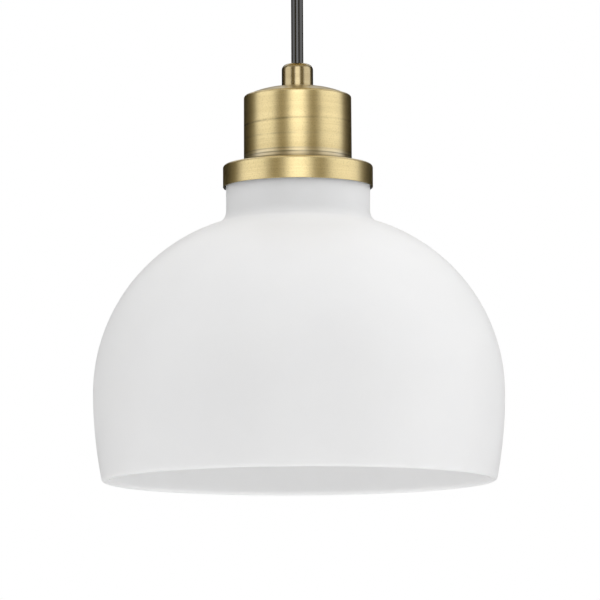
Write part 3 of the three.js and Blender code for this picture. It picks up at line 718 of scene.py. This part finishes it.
def make_canopy():
    inside = CANOPY_R - CANOPY_WALL
    edge = CANOPY_R - CANOPY_ROUND
    level = CANOPY_FOOT + CANOPY_ROUND
    outline = [
        (inside, 0),
        (CANOPY_R, 0),
        *arc(edge, level, CANOPY_ROUND, 0, -90, 8),
        (CANOPY_HOLE_R, CANOPY_FOOT),
        (CANOPY_HOLE_R, CANOPY_FOOT + CANOPY_WALL),
        *arc(edge, level, CANOPY_ROUND - CANOPY_WALL, -90, 0, 6),
    ]
    canopy = turned("canopy", soften(outline, 0.25 * MM), LARGE)
    stud_hole = [(0, 2 * MM), (STUD_HOLE_R, 2 * MM), (STUD_HOLE_R, -1 * MM), (0, -1 * MM)]
    places = [(side * STUD_X, 0, CANOPY_FOOT) for side in (-1, 1)]
    drill(canopy, [turned("drill", stud_hole, SMALL, at=place) for place in places])
    stand_in(canopy, "canopy", "canopy_shell")


def circle(x, radius, steps=32):
    """A round hole on the X axis."""
    angles = [TAU * i / steps for i in range(steps)]
    return [(x + radius * math.cos(angle), radius * math.sin(angle)) for angle in angles]


def stadium(x, half_run, radius, steps=12):
    """A slot along X: two half circles joined by straight sides."""
    right = [(x + half_run + px, py) for px, py in arc(0, 0, radius, -90, 90, steps)]
    left = [(x - half_run + px, py) for px, py in arc(0, 0, radius, 90, 270, steps)]
    return right + left


def rounded_rectangle(half_x, half_y, corner, steps=8):
    points = []
    for turn, (side_x, side_y) in enumerate([(1, 1), (-1, 1), (-1, -1), (1, -1)]):
        centre = (side_x * (half_x - corner), side_y * (half_y - corner))
        points += arc(*centre, corner, turn * 90, turn * 90 + 90, steps)
    return points


def make_mounting_bar():
    low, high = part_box("mounting_bar")
    holes = [circle(0, BAR_CENTRE_R), circle(middle_x("earth_screw"), 2 * MM)]
    for side in (-1, 1):
        holes.append(circle(side * STUD_X, 2.2 * MM))
        holes.append(stadium(side * BAR_SLOT_X, BAR_SLOT_HALF_RUN, BAR_SLOT_R))
    outer = rounded_rectangle(high.x, high.y, 4 * MM)
    bar = flat_plate("mounting_bar_plate", outer, holes, low.z, high.z - low.z, 0.25 * MM)
    stand_in(bar, "canopy", "mounting_bar")


def make_stud(side, x):
    low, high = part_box("canopy_stud_" + side)
    wall = (high.x - low.x) / 2 - 0.12 * MM
    end_r = wall - 0.3 * MM
    outline = [
        (0, high.z),
        (end_r, high.z),
        *rows(wall, high.z - 0.3 * MM, low.z + 0.3 * MM, 260),
        (end_r, low.z),
        (0, low.z),
    ]
    thread = screw_thread(wall, low.z, high.z, STUD_PITCH, 0.11 * MM)
    stud = turned("stud_" + side, outline, 32, thread, at=(x, 0, 0), sharp=80)
    stand_in(stud, "canopy", "canopy_stud_" + side)


def make_cap_nut(side, x):
    """A domed nut with a knurled side and a blind bore."""
    low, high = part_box("canopy_nut_" + side)
    radius = (high.x - low.x) / 2
    wall = radius - 0.14 * MM
    knurl_low = low.z + CAP_NUT_DOME + 0.3 * MM
    knurl_high = high.z - 0.5 * MM
    outline = [
        (0, high.z - CAP_NUT_BORE_DEPTH),
        (CAP_NUT_BORE_R, high.z - CAP_NUT_BORE_DEPTH),
        (CAP_NUT_BORE_R, high.z),
        (radius - 0.35 * MM, high.z),
        (wall, knurl_high),
        *rows(wall, knurl_high - 0.1 * MM, knurl_low + 0.1 * MM, 2),
        (wall, knurl_low),
        *arc(radius - CAP_NUT_DOME, low.z + CAP_NUT_DOME, CAP_NUT_DOME, 0, -90, 10),
        (0, low.z),
    ]
    knurl = ribbed(knurl_low + 0.05 * MM, knurl_high - 0.05 * MM, CAP_NUT_KNURLS, 0.13 * MM)
    nut = turned("cap_nut_" + side, outline, 240, knurl, at=(x, 0, 0), sharp=60)
    stand_in(nut, "canopy", "canopy_nut_" + side)


def make_canopy_grip():
    """The grip under the canopy, its threaded stub through the canopy's hole, and its lock nut."""
    wall = GRIP_STUB_R - 0.15 * MM
    shoulder = CANOPY_FOOT - GRIP_GAP
    mirrored = grip_outline(-GRIP_FACE, -shoulder, GRIP_BORE, 0.5 * MM)[:-3]
    outline = [
        *[(r, -z) for r, z in mirrored],
        (wall, shoulder),
        *reversed(rows(wall, GRIP_TOP - 0.3 * MM, shoulder + 0.3 * MM, 120)),
        (GRIP_STUB_R - 0.6 * MM, GRIP_TOP),
        (GRIP_BORE, GRIP_TOP),
    ]
    thread = screw_thread(wall, shoulder, GRIP_TOP, GRIP_STUB_PITCH, 0.15 * MM)
    grip = turned("canopy_cord_grip", outline, ROUND, thread, sharp=60)
    stand_in(grip, "canopy", "canopy_grip", look="turned_brass")
    low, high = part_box("canopy_grip_nut")
    nut = hex_nut("grip_nut", GRIP_NUT_ACROSS, GRIP_NUT_BORE_R, low.z, high.z - low.z)
    stand_in(nut, "canopy", "canopy_grip_nut")


def make_earth_screw():
    low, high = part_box("earth_screw")
    x = middle_x("earth_screw")
    radius = (high.x - low.x) / 2
    shank_r = 1.7 * MM
    under_head = -1.7 * MM
    outline = [
        (0, high.z),
        (shank_r, high.z),
        (shank_r, under_head),
        (radius, under_head),
        (radius, low.z + 0.7 * MM),
        *arc(radius - 0.5 * MM, low.z + 0.7 * MM, 0.5 * MM, 0, -80, 4),
        (0, low.z),
    ]
    screw = turned("earth_screw_head", outline, SMALL, at=(x, 0, 0))
    slot_outline = rounded_rectangle(5 * MM, 0.4 * MM, 0.1 * MM)
    slot = flat_plate("slot", slot_outline, [], low.z - 1 * MM, 1.9 * MM, 0.01 * MM)
    slot.data.transform(Matrix.Translation((x, 0, 0)))
    drill(screw, [slot])
    stand_in(screw, "canopy", "earth_screw")


WIRE_R = 1 * MM
WIRE_SPREAD = 1.45 * MM
CONNECTOR_MOUTH_X = 14 * MM


def make_canopy_wiring():
    tail_low, tail_high, _ = span("cord_tail")
    outline = [(0, tail_high), (CORD_R, tail_high), (CORD_R, tail_low), (0, tail_low)]
    stand_in(turned("cord_stub_upper", soften(outline, 0.2 * MM), SMALL), "canopy", "cord_tail")
    start = tail_high + 0.3 * MM
    for name, side in (("live", -1), ("neutral", 1)):
        route = [
            (side * 1.25, WIRE_SPREAD / MM / 2, start / MM),
            (side * 1.6, 1.6, -9.6),
            (side * 3, 9, -8),
            (side * 4.5, 18, -9.6),
            (side * 10, 23.4, -12),
            (side * 20, 24, -12),
        ]
        lead = wire("canopy_lead_" + name, [Vector(p) * MM for p in route], WIRE_R)
        stand_in(lead, "canopy", "supply_wire_" + name)
        make_wire_connector(name, side)
    route = [
        (0, -WIRE_SPREAD / MM, start / MM),
        (-0.6, -2.2, -9.8),
        (-4.4, -4.4, -6.8),
        (-9.4, -4, -4.6),
        (-13.1, -1.2, -3.4),
    ]
    lead = wire("canopy_lead_earth", [Vector(p) * MM for p in route], WIRE_R)
    stand_in(lead, "canopy", "supply_wire_earth")


def make_wire_connector(name, side):
    """A twist-on connector, lying along X with its mouth inwards: ribbed cone and skirt."""
    outline = [
        (0, 18 * MM),
        (2.2 * MM, 18 * MM),
        (2.9 * MM, 17.4 * MM),
        (2.95 * MM, 17.2 * MM),
        (4.5 * MM, 10.2 * MM),
        (4.9 * MM, 9.4 * MM),
        (5.5 * MM, 8.8 * MM),
        (5.6 * MM, 0),
        (2.4 * MM, 0),
        (2.4 * MM, 10 * MM),
        (0, 10 * MM),
    ]

    def ribs(r, z, angle):
        on_cone = r > 2.92 * MM and z > 10 * MM
        return r * (1 - 0.07 * (0.5 + 0.5 * math.cos(14 * angle))) if on_cone else r

    piece = turned("connector_" + name, outline, 168, ribs, sharp=50)
    low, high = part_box("wire_connector_" + name)
    middle = (low + high) / 2
    mouth = Vector((side * CONNECTOR_MOUTH_X, middle.y, middle.z))
    piece.data.transform(Matrix.Translation(mouth) @ Matrix.Rotation(side * TAU / 4, 4, "Y"))
    stand_in(piece, "canopy", "wire_connector_" + name)


# ---- Lamp head --------------------------------------------------------------

CUP_FOOT, CUP_PAD, CUP_R = span("socket_cup")
CUP_WALL = 1 * MM
CUP_ROUND = 1.5 * MM
CUP_TOP_R = 26.7 * MM
CUP_EDGE = LAMP + 46.1 * MM  # height where the cup's domed end meets its rounded edge
CUP_PAD_R = 8.2 * MM
CUP_CROWN = 1.8 * MM  # from the middle of the dome's chord up to its control point
CUP_HOLE_R = 5.1 * MM
RELIEF_THREAD_R = 4.95 * MM
RELIEF_THREAD_DEPTH = 6 * MM
HOLDER_WALL = 0.7 * MM
HOLDER_PLATE = 1.2 * MM
HOLDER_ROUND = 1.5 * MM
HOLDER_LIP = 0.3 * MM
HOLDER_HOLE_R = 20.6 * MM


def make_strain_relief():
    outline = grip_outline(RELIEF_FACE, RELIEF_FOOT, RELIEF_THREAD_R, RELIEF_THREAD_DEPTH)
    relief = turned("cord_strain_relief", outline, ROUND)
    stand_in(relief, "lamp", "strain_relief", look="turned_brass")
    low, high, _ = span("cord_end")
    outline = [(0, high), (CORD_R, high), (CORD_R, low), (0, low)]
    stand_in(turned("cord_stub_lower", soften(outline, 0.2 * MM), SMALL), "lamp", "cord_end")


def make_cup():
    """Straight-sided cup with a small rounded edge and a slightly domed end."""
    edge_r = CUP_TOP_R - CUP_ROUND
    edge_z = CUP_EDGE - CUP_ROUND

    def dome(drop, steps):
        middle_z = (CUP_EDGE + CUP_PAD) / 2 + CUP_CROWN
        middle = ((edge_r + CUP_PAD_R) / 2, middle_z - drop)
        return bezier((CUP_PAD_R, CUP_PAD - drop), middle, (edge_r, CUP_EDGE - drop), steps)

    outline = [
        (CUP_HOLE_R, CUP_PAD),
        *dome(0, 12),
        *arc(edge_r, edge_z, CUP_ROUND, 90, 0, 8)[1:],
        (CUP_R, CUP_FOOT + 0.25 * MM),
        (CUP_R - 0.2 * MM, CUP_FOOT),
        (CUP_R - CUP_WALL, CUP_FOOT),
        *arc(edge_r, edge_z, CUP_ROUND - CUP_WALL, 0, 90, 5),
        *dome(CUP_WALL, 10)[::-1][1:],
        (CUP_HOLE_R, CUP_PAD - CUP_WALL),
    ]
    stand_in(turned("brass_cup", outline, LARGE), "lamp", "socket_cup")


def make_shade_holder():
    """The wide ring over the shade's neck, rolled over at its top edge."""
    foot, top, radius = span("shade_holder")
    inside = radius - HOLDER_WALL
    under = top - HOLDER_PLATE
    outline = [
        (HOLDER_HOLE_R, top),
        *arc(radius - HOLDER_ROUND, top - HOLDER_ROUND, HOLDER_ROUND, 90, 0, 8),
        (radius, foot + HOLDER_LIP),
        *arc(radius - HOLDER_LIP, foot + HOLDER_LIP, HOLDER_LIP, 0, -90, 4)[1:],
        (inside, foot + 0.05 * MM),
        (inside, under - 0.5 * MM),
        *arc(inside - 0.5 * MM, under - 0.5 * MM, 0.5 * MM, 0, 90, 4)[1:],
        (HOLDER_HOLE_R, under),
    ]
    stand_in(turned("holder_ring", outline, LARGE), "lamp", "shade_holder")


# ---- Lampholder -------------------------------------------------------------

SOCKET_R = 19.6 * MM
SOCKET_BORE_R = 14.6 * MM
SOCKET_FLANGE = LAMP + 11.2 * MM
SOCKET_FLOOR = LAMP + 7 * MM
SOCKET_PITCH = 3 * MM
TERMINAL_X = 11 * MM
TERMINAL_HOLE_R = 1.8 * MM
THREAD_PITCH = 3.629 * MM
THREAD_WAVE = 0.42 * MM
BASE_WALL = 12.8 * MM
SHELL_WALL = BASE_WALL + 0.35 * MM
SHELL_HOLE_R = 10.2 * MM
SHELL_THICK = 0.6 * MM


def make_socket():
    """Moulded lampholder, threaded outside for the clamp ring, with a flange that sits on the holder."""
    mouth, top, flange_r = span("socket_body")
    wall = SOCKET_R - 0.35 * MM
    outline = [
        (0, top),
        (flange_r, top),
        (flange_r, SOCKET_FLANGE),
        (SOCKET_R - 0.3 * MM, SOCKET_FLANGE),
        *rows(wall, LAMP + 4 * MM, mouth + 1.6 * MM, 150),
        *arc(wall - 0.8 * MM, mouth + 0.8 * MM, 0.8 * MM, 0, -90, 5),
        *arc(SOCKET_BORE_R + 0.6 * MM, mouth + 0.6 * MM, 0.6 * MM, -90, -180, 5),
        (SOCKET_BORE_R, SOCKET_FLOOR),
        (0, SOCKET_FLOOR),
    ]
    thread = screw_thread(wall, mouth + 2 * MM, LAMP + 4.2 * MM, SOCKET_PITCH, 0.33 * MM)
    socket = turned("lampholder", outline, ROUND, thread, sharp=50)
    hole = [(0, 3 * MM), (TERMINAL_HOLE_R, 3 * MM), (TERMINAL_HOLE_R, -5 * MM), (0, -5 * MM)]
    drill(socket, [turned("drill", hole, 32, at=(x, 0, top)) for x in (-TERMINAL_X, TERMINAL_X)])
    stand_in(socket, "lamp", "socket_body")


def make_screw_shell():
    """Thin nickel shell rolled with the lamp thread."""
    foot, top, outer = span("screw_shell")
    outline = [
        (SHELL_HOLE_R, top),
        (outer - 0.2 * MM, top),
        (outer, top - 0.3 * MM),
        (outer, foot),
        *rows(SHELL_WALL, foot, top - 1.4 * MM, 96),
        (SHELL_WALL, top - SHELL_THICK),
        (SHELL_HOLE_R, top - SHELL_THICK),
    ]

    def thread(r, z, angle):
        if abs(r - SHELL_WALL) > 0.02 * MM or z > top - 1.5 * MM:
            return r
        return r + THREAD_WAVE * math.cos(angle - TAU * (z - LAMP) / THREAD_PITCH)

    stand_in(turned("lamp_screw_shell", outline, ROUND, thread, sharp=50), "lamp", "screw_shell")


# ---- Shade ------------------------------------------------------------------

SHADE_WALL = 3.4 * MM
SHADE_RIM, SHADE_SEAT, SHADE_R = span("glass_shade")
SHADE_WIDEST = LAMP - 102.5 * MM
NECK_R = 35.7 * MM
NECK_ROUND = 3.4 * MM
NECK_FILLET = 7 * MM
UPPER_ARC = 88.5 * MM
LOWER_ARC = 218 * MM
SHADE_HOLE = 21 * MM
SEAL_HOLE = 21.2 * MM
LOBE_R = 27.6 * MM
LOBE_DEPTH = 0.9 * MM
LOBES = 12


def make_shade():
    """Blown opal glass: neck, hollow fillet, dome, long lower arc and a fire-polished rim."""
    wall = SHADE_WALL
    dome_r = SHADE_R - UPPER_ARC
    lower_r = SHADE_R - LOWER_ARC
    fillet_r = NECK_R + NECK_FILLET
    fillet_z = SHADE_WIDEST + math.sqrt((UPPER_ARC + NECK_FILLET) ** 2 - (fillet_r - dome_r) ** 2)
    meet = math.degrees(math.atan2(fillet_z - SHADE_WIDEST, fillet_r - dome_r))
    middle_arc = LOWER_ARC - wall / 2
    rim_angle = -math.degrees(math.asin((SHADE_WIDEST - SHADE_RIM - wall / 2) / middle_arc))
    rim = Vector((lower_r, SHADE_WIDEST)) + middle_arc * Vector(
        (math.cos(math.radians(rim_angle)), math.sin(math.radians(rim_angle)))
    )
    outline = [
        (SHADE_HOLE, SHADE_SEAT),
        *arc(NECK_R - NECK_ROUND, SHADE_SEAT - NECK_ROUND, NECK_ROUND, 90, 0, 10),
        *arc(fillet_r, fillet_z, NECK_FILLET, 180, 180 + meet, 12),
        *arc(dome_r, SHADE_WIDEST, UPPER_ARC, meet, 0, 48)[1:],
        *arc(lower_r, SHADE_WIDEST, LOWER_ARC, 0, rim_angle, 14)[1:],
        *arc(rim.x, rim.y, wall / 2, rim_angle, rim_angle - 180, 12)[1:],
        *arc(lower_r, SHADE_WIDEST, LOWER_ARC - wall, rim_angle, 0, 14)[1:],
        *arc(dome_r, SHADE_WIDEST, UPPER_ARC - wall, 0, meet, 48)[1:],
        *arc(fillet_r, fillet_z, NECK_FILLET + wall, 180 + meet, 180, 12)[1:],
        (NECK_R - wall, SHADE_SEAT - wall),
        (SHADE_HOLE, SHADE_SEAT - wall),
    ]
    stand_in(turned("opal_shade", outline, LARGE, sharp=60), "shade", "glass_shade")


def make_seals():
    for name, piece_name in (("shade_gasket", "gasket_ring"), ("clamp_washer", "washer_ring")):
        low, high, outer = span(name)
        outline = [(SEAL_HOLE, high), (outer, high), (outer, low), (SEAL_HOLE, low)]
        seal = turned(piece_name, soften(outline, 0.3 * MM), ROUND)
        stand_in(seal, "shade", name)


def make_clamp_ring():
    """Moulded ring with finger lobes, screwed up the outside of the lampholder."""
    low, high, _ = span("clamp_ring")
    bore = SOCKET_R + 0.4 * MM
    outline = [
        (bore, high),
        (LOBE_R, high),
        *rows(LOBE_R, high - 1 * MM, low + 1 * MM, 3),
        (LOBE_R, low),
        (bore, low),
    ]

    def lobes(r, z, angle):
        return r + LOBE_DEPTH * math.cos(LOBES * angle) if r > 26 * MM else r

    ring = turned("shade_clamp_ring", soften(outline, 0.7 * MM, 4), 240, lobes)
    stand_in(ring, "clamp_ring", "clamp_ring")


# ---- Bulb -------------------------------------------------------------------

BULB_TIP = span("bulb_contact")[1]
BASE_FOOT = span("bulb_base")[0]
GLOBE_FOOT, GLOBE_TOP, GLOBE_R = span("bulb_globe")


def make_bulb_tip():
    """The solder contact, and the dark insulator round it."""
    contact_r = 4.2 * MM
    crown = (2.2 * MM, BULB_TIP - 0.1 * MM)
    contact = [
        (0, BULB_TIP),
        *bezier(crown, (contact_r, BULB_TIP - 0.5 * MM), (contact_r, BULB_TIP - 1.1 * MM), 5),
        (contact_r, BULB_TIP - 1.8 * MM),
        (0, BULB_TIP - 1.8 * MM),
    ]
    stand_in(turned("bulb_tip_contact", contact, SMALL), "bulb_tip", "bulb_contact")
    insulator = [
        (0, BULB_TIP - 1.9 * MM),
        (4.8 * MM, BULB_TIP - 1.9 * MM),
        (8.6 * MM, BULB_TIP - 4.2 * MM),
        (8.6 * MM, BULB_TIP - 6 * MM),
        (0, BULB_TIP - 6 * MM),
    ]
    collar = turned("bulb_tip_insulator", soften(insulator, 0.3 * MM), SMALL)
    stand_in(collar, "bulb_tip", "bulb_insulator")


def make_bulb_base():
    thread_top = BULB_TIP - 7.4 * MM
    thread_low = BASE_FOOT + 2 * MM
    hole = 8.9 * MM
    inside = 11.8 * MM
    shoulder = (9.8 * MM, BULB_TIP - 4.4 * MM)
    outline = [
        (hole, BULB_TIP - 4.4 * MM),
        *bezier(shoulder, (BASE_WALL, BULB_TIP - 5.2 * MM), (BASE_WALL, thread_top), 6),
        *rows(BASE_WALL, thread_top, thread_low, 96),
        (BASE_WALL + 0.3 * MM, BASE_FOOT + 1 * MM),
        (BASE_WALL + 0.3 * MM, BASE_FOOT),
        (inside, BASE_FOOT),
        (inside, thread_top),
        (hole, BULB_TIP - 5.3 * MM),
    ]

    def thread(r, z, angle):
        if abs(r - BASE_WALL) > 0.02 * MM or not thread_low - 0.1 * MM <= z <= thread_top + 0.1 * MM:
            return r
        fade = min(1, (thread_top - z) / MM, (z - thread_low) / MM)
        return r + max(0, fade) * THREAD_WAVE * math.cos(angle - TAU * (z - LAMP) / THREAD_PITCH)

    stand_in(turned("bulb_screw_base", outline, ROUND, thread, sharp=50), "bulb", "bulb_base")


def make_bulb_housing():
    neck = 11.4 * MM
    wall = 1.6 * MM
    top = BASE_FOOT - 0.3 * MM
    low, _, seat_r = span("bulb_housing")

    def trumpet(inset):
        start = (13.3 * MM - inset, top - inset * 0.6)
        return bezier(start, (15.5 * MM - inset, BULB_TIP - 36 * MM), (seat_r - inset, low), 16)

    outline = [
        (neck - wall, BASE_FOOT + 8 * MM),
        (neck, BASE_FOOT + 8 * MM),
        (neck, top),
        *trumpet(0),
        *trumpet(wall)[::-1],
        (neck - wall, BASE_FOOT),
    ]
    stand_in(turned("bulb_body", outline, ROUND), "bulb", "bulb_housing")


def make_bulb_globe():
    seat_r = span("bulb_housing")[2]
    centre = GLOBE_FOOT + GLOBE_R
    shell = 1.2 * MM
    lift = GLOBE_TOP - centre
    join = math.degrees(0.2)

    def rise(inset):
        start = (seat_r - inset, GLOBE_TOP)
        bulge = (seat_r + 2.6 * MM - inset, centre + lift * 0.62)
        end = arc(0, centre, GLOBE_R - inset, join, join, 1)[0]
        return bezier(start, bulge, end, 14)

    outline = [
        *rise(0),
        *arc(0, centre, GLOBE_R, join, -90, 40)[1:],
        *arc(0, centre, GLOBE_R - shell, -90, join, 40),
        *rise(shell)[::-1][1:],
    ]
    stand_in(turned("bulb_frosted_globe", outline, ROUND, sharp=60), "bulb", "bulb_globe")


# ---- Floor and light --------------------------------------------------------

FLOOR = -4.8
FLOOR_REACH = 30


def make_floor():
    bm = bmesh.new()
    bmesh.ops.create_grid(bm, x_segments=2, y_segments=2, size=FLOOR_REACH)
    floor = mesh_of("floor", bm)
    floor.location.z = FLOOR
    floor.visible_glossy = False  # the metal mirrors the studio's light, not the floor
    material, tree, shader = new_material("pale_floor", Roughness=0.8)
    tone = noise(tree, object_place(tree), 0.6, 2, 0.5)
    colour = blend_colours(tree, tone, (0.87, 0.87, 0.87, 1), (0.9, 0.9, 0.9, 1))
    tree.links.new(colour, shader.inputs["Base Color"])
    floor.data.materials.append(material)


# What the metal mirrors, in degrees: azimuth runs from the camera round to the right.
# A soft box is its azimuth from and to, its elevation from and to, and its brightness.
SOFT_BOXES = [
    (-17.5, 18.8, -30, 40, 1.64),
    (-100, -48, -30, 40, 1.12),
    (48, 109, -30, 40, 1.13),
    (130, 230, 28, 50, 0.8),
]
FEATHER = 10.0  # over which a soft box fades out
CEILING = (48, 140, 0.9)  # elevation from and to, and brightness
GROUND = (-64, -38, 0.7)
GAP_LIGHT = 0.2  # between the soft boxes
BACK_LIGHT = 0.015  # the same, behind the object
BACK_AZIMUTHS = (95, 135)  # between which the room darkens to the back
WARM_SHADOW = (1.0, 0.8, 0.34)  # colour of the room between the soft boxes

# What lights every other surface: the height of a direction, from -1 to 1, and its brightness.
FILL = [(-1.0, 1.16), (0.0, 0.6), (0.28, 1.0), (0.6, 1.3), (1.0, 1.48)]
RIGHT_FILL = 0.22  # added towards the right, and taken away towards the left
MIDDLE_FILL = -0.4  # added towards the front and the back


def between(tree, value, low, high):
    """1 inside a range and 0 outside it, with soft ends."""
    reach = (high - low) / 2
    away = maths(tree, "ABSOLUTE", maths(tree, "SUBTRACT", value, (low + high) / 2))
    edge = {"Value": away, "From Min": reach + FEATHER / 2, "From Max": reach - FEATHER / 2}
    return add(tree, "MapRange", edge, interpolation_type="SMOOTHSTEP").outputs["Result"]


def mirrored_studio(tree, x, forward, z):
    """Soft boxes at eye level with a dark warm room between them, a pale ceiling and a pale ground."""
    azimuth = maths(tree, "MULTIPLY", maths(tree, "ARCTAN2", x, forward), math.degrees(1))
    elevation = maths(tree, "MULTIPLY", maths(tree, "ARCSINE", z), math.degrees(1))
    around = maths(tree, "ABSOLUTE", azimuth)
    shadow = vary(tree, around, GAP_LIGHT, BACK_LIGHT, *BACK_AZIMUTHS)
    boxes = 0.0
    for west, east, low, high, brightness in SOFT_BOXES:
        turned_to = maths(tree, "SUBTRACT", azimuth, (west + east) / 2)
        wrapped = add(tree, "Math", {0: turned_to, 1: 180.0, 2: -180.0}, operation="WRAP").outputs[0]
        half = (east - west) / 2
        wide = between(tree, wrapped, -half, half)
        tall = between(tree, elevation, low, high)
        box = maths(tree, "MULTIPLY", maths(tree, "MULTIPLY", wide, tall), brightness)
        boxes = maths(tree, "ADD", boxes, box)
    for low, high, brightness in (CEILING, GROUND):
        band = maths(tree, "MULTIPLY", between(tree, elevation, low, high), brightness)
        boxes = maths(tree, "ADD", boxes, band)
    warm = add(tree, "VectorMath", {0: WARM_SHADOW, "Scale": shadow}, operation="SCALE").outputs[0]
    return add(tree, "VectorMath", {0: warm, 1: grey(tree, boxes)}, operation="MAXIMUM").outputs[0]


def soft_fill(tree, x, forward, z):
    """An even light that changes slowly with height and from left to right."""
    fill = FILL[0][1]
    for (low, level), (high, next_level) in zip(FILL, FILL[1:]):
        fill = maths(tree, "ADD", fill, vary(tree, z, 0, next_level - level, low, high))
    fill = maths(tree, "ADD", fill, maths(tree, "MULTIPLY", x, RIGHT_FILL))
    lengthways = maths(tree, "ABSOLUTE", forward)
    fill = maths(tree, "ADD", fill, maths(tree, "MULTIPLY", lengthways, MIDDLE_FILL))
    return grey(tree, fill)


def grey(tree, level):
    return add(tree, "CombineXYZ", {0: level, 1: level, 2: level}).outputs[0]


def make_world():
    """A studio drawn by direction: mirror-like surfaces see its soft boxes, all others a soft fill."""
    world = bpy.data.worlds.new("studio")
    world.use_nodes = True
    tree = world.node_tree
    tree.nodes.clear()
    direction = add(tree, "TexCoord").outputs["Generated"]
    x, y, z = add(tree, "SeparateXYZ", {0: direction}).outputs[:3]
    forward = maths(tree, "MULTIPLY", y, -1.0)
    mirrored = mirrored_studio(tree, x, forward, z)
    soft = soft_fill(tree, x, forward, z)
    rays = add(tree, "LightPath").outputs
    light = blend_colours(tree, rays["Is Glossy Ray"], soft, mirrored)
    light = blend_colours(tree, rays["Is Camera Ray"], light, (1, 1, 1, 1))
    background = add(tree, "Background", {"Color": light, "Strength": 1.0})
    output = add(tree, "OutputWorld")
    tree.links.new(background.outputs[0], output.inputs[0])
    world.cycles.sampling_method = "NONE"  # so that each kind of ray only ever sees its own light
    bpy.context.scene.world = world


# ---- The whole light --------------------------------------------------------

paint_cad_nodes()
make_cord()
make_bush("canopy_bush", "canopy_bush", CANOPY_PIVOT, -1)
make_bush("strain_relief_bush", "relief_bush", LAMP_PIVOT, 1)
make_canopy()
make_mounting_bar()
for stud_side, stud_x in (("left", -STUD_X), ("right", STUD_X)):
    make_stud(stud_side, stud_x)
    make_cap_nut(stud_side, stud_x)
make_canopy_grip()
make_earth_screw()
make_canopy_wiring()
make_strain_relief()
make_cup()
make_shade_holder()
make_socket()
make_screw_shell()
make_shade()
make_seals()
make_clamp_ring()
make_bulb_tip()
make_bulb_base()
make_bulb_housing()
make_bulb_globe()
make_floor()
make_world()
bpy.context.scene.view_settings.view_transform = "Standard"
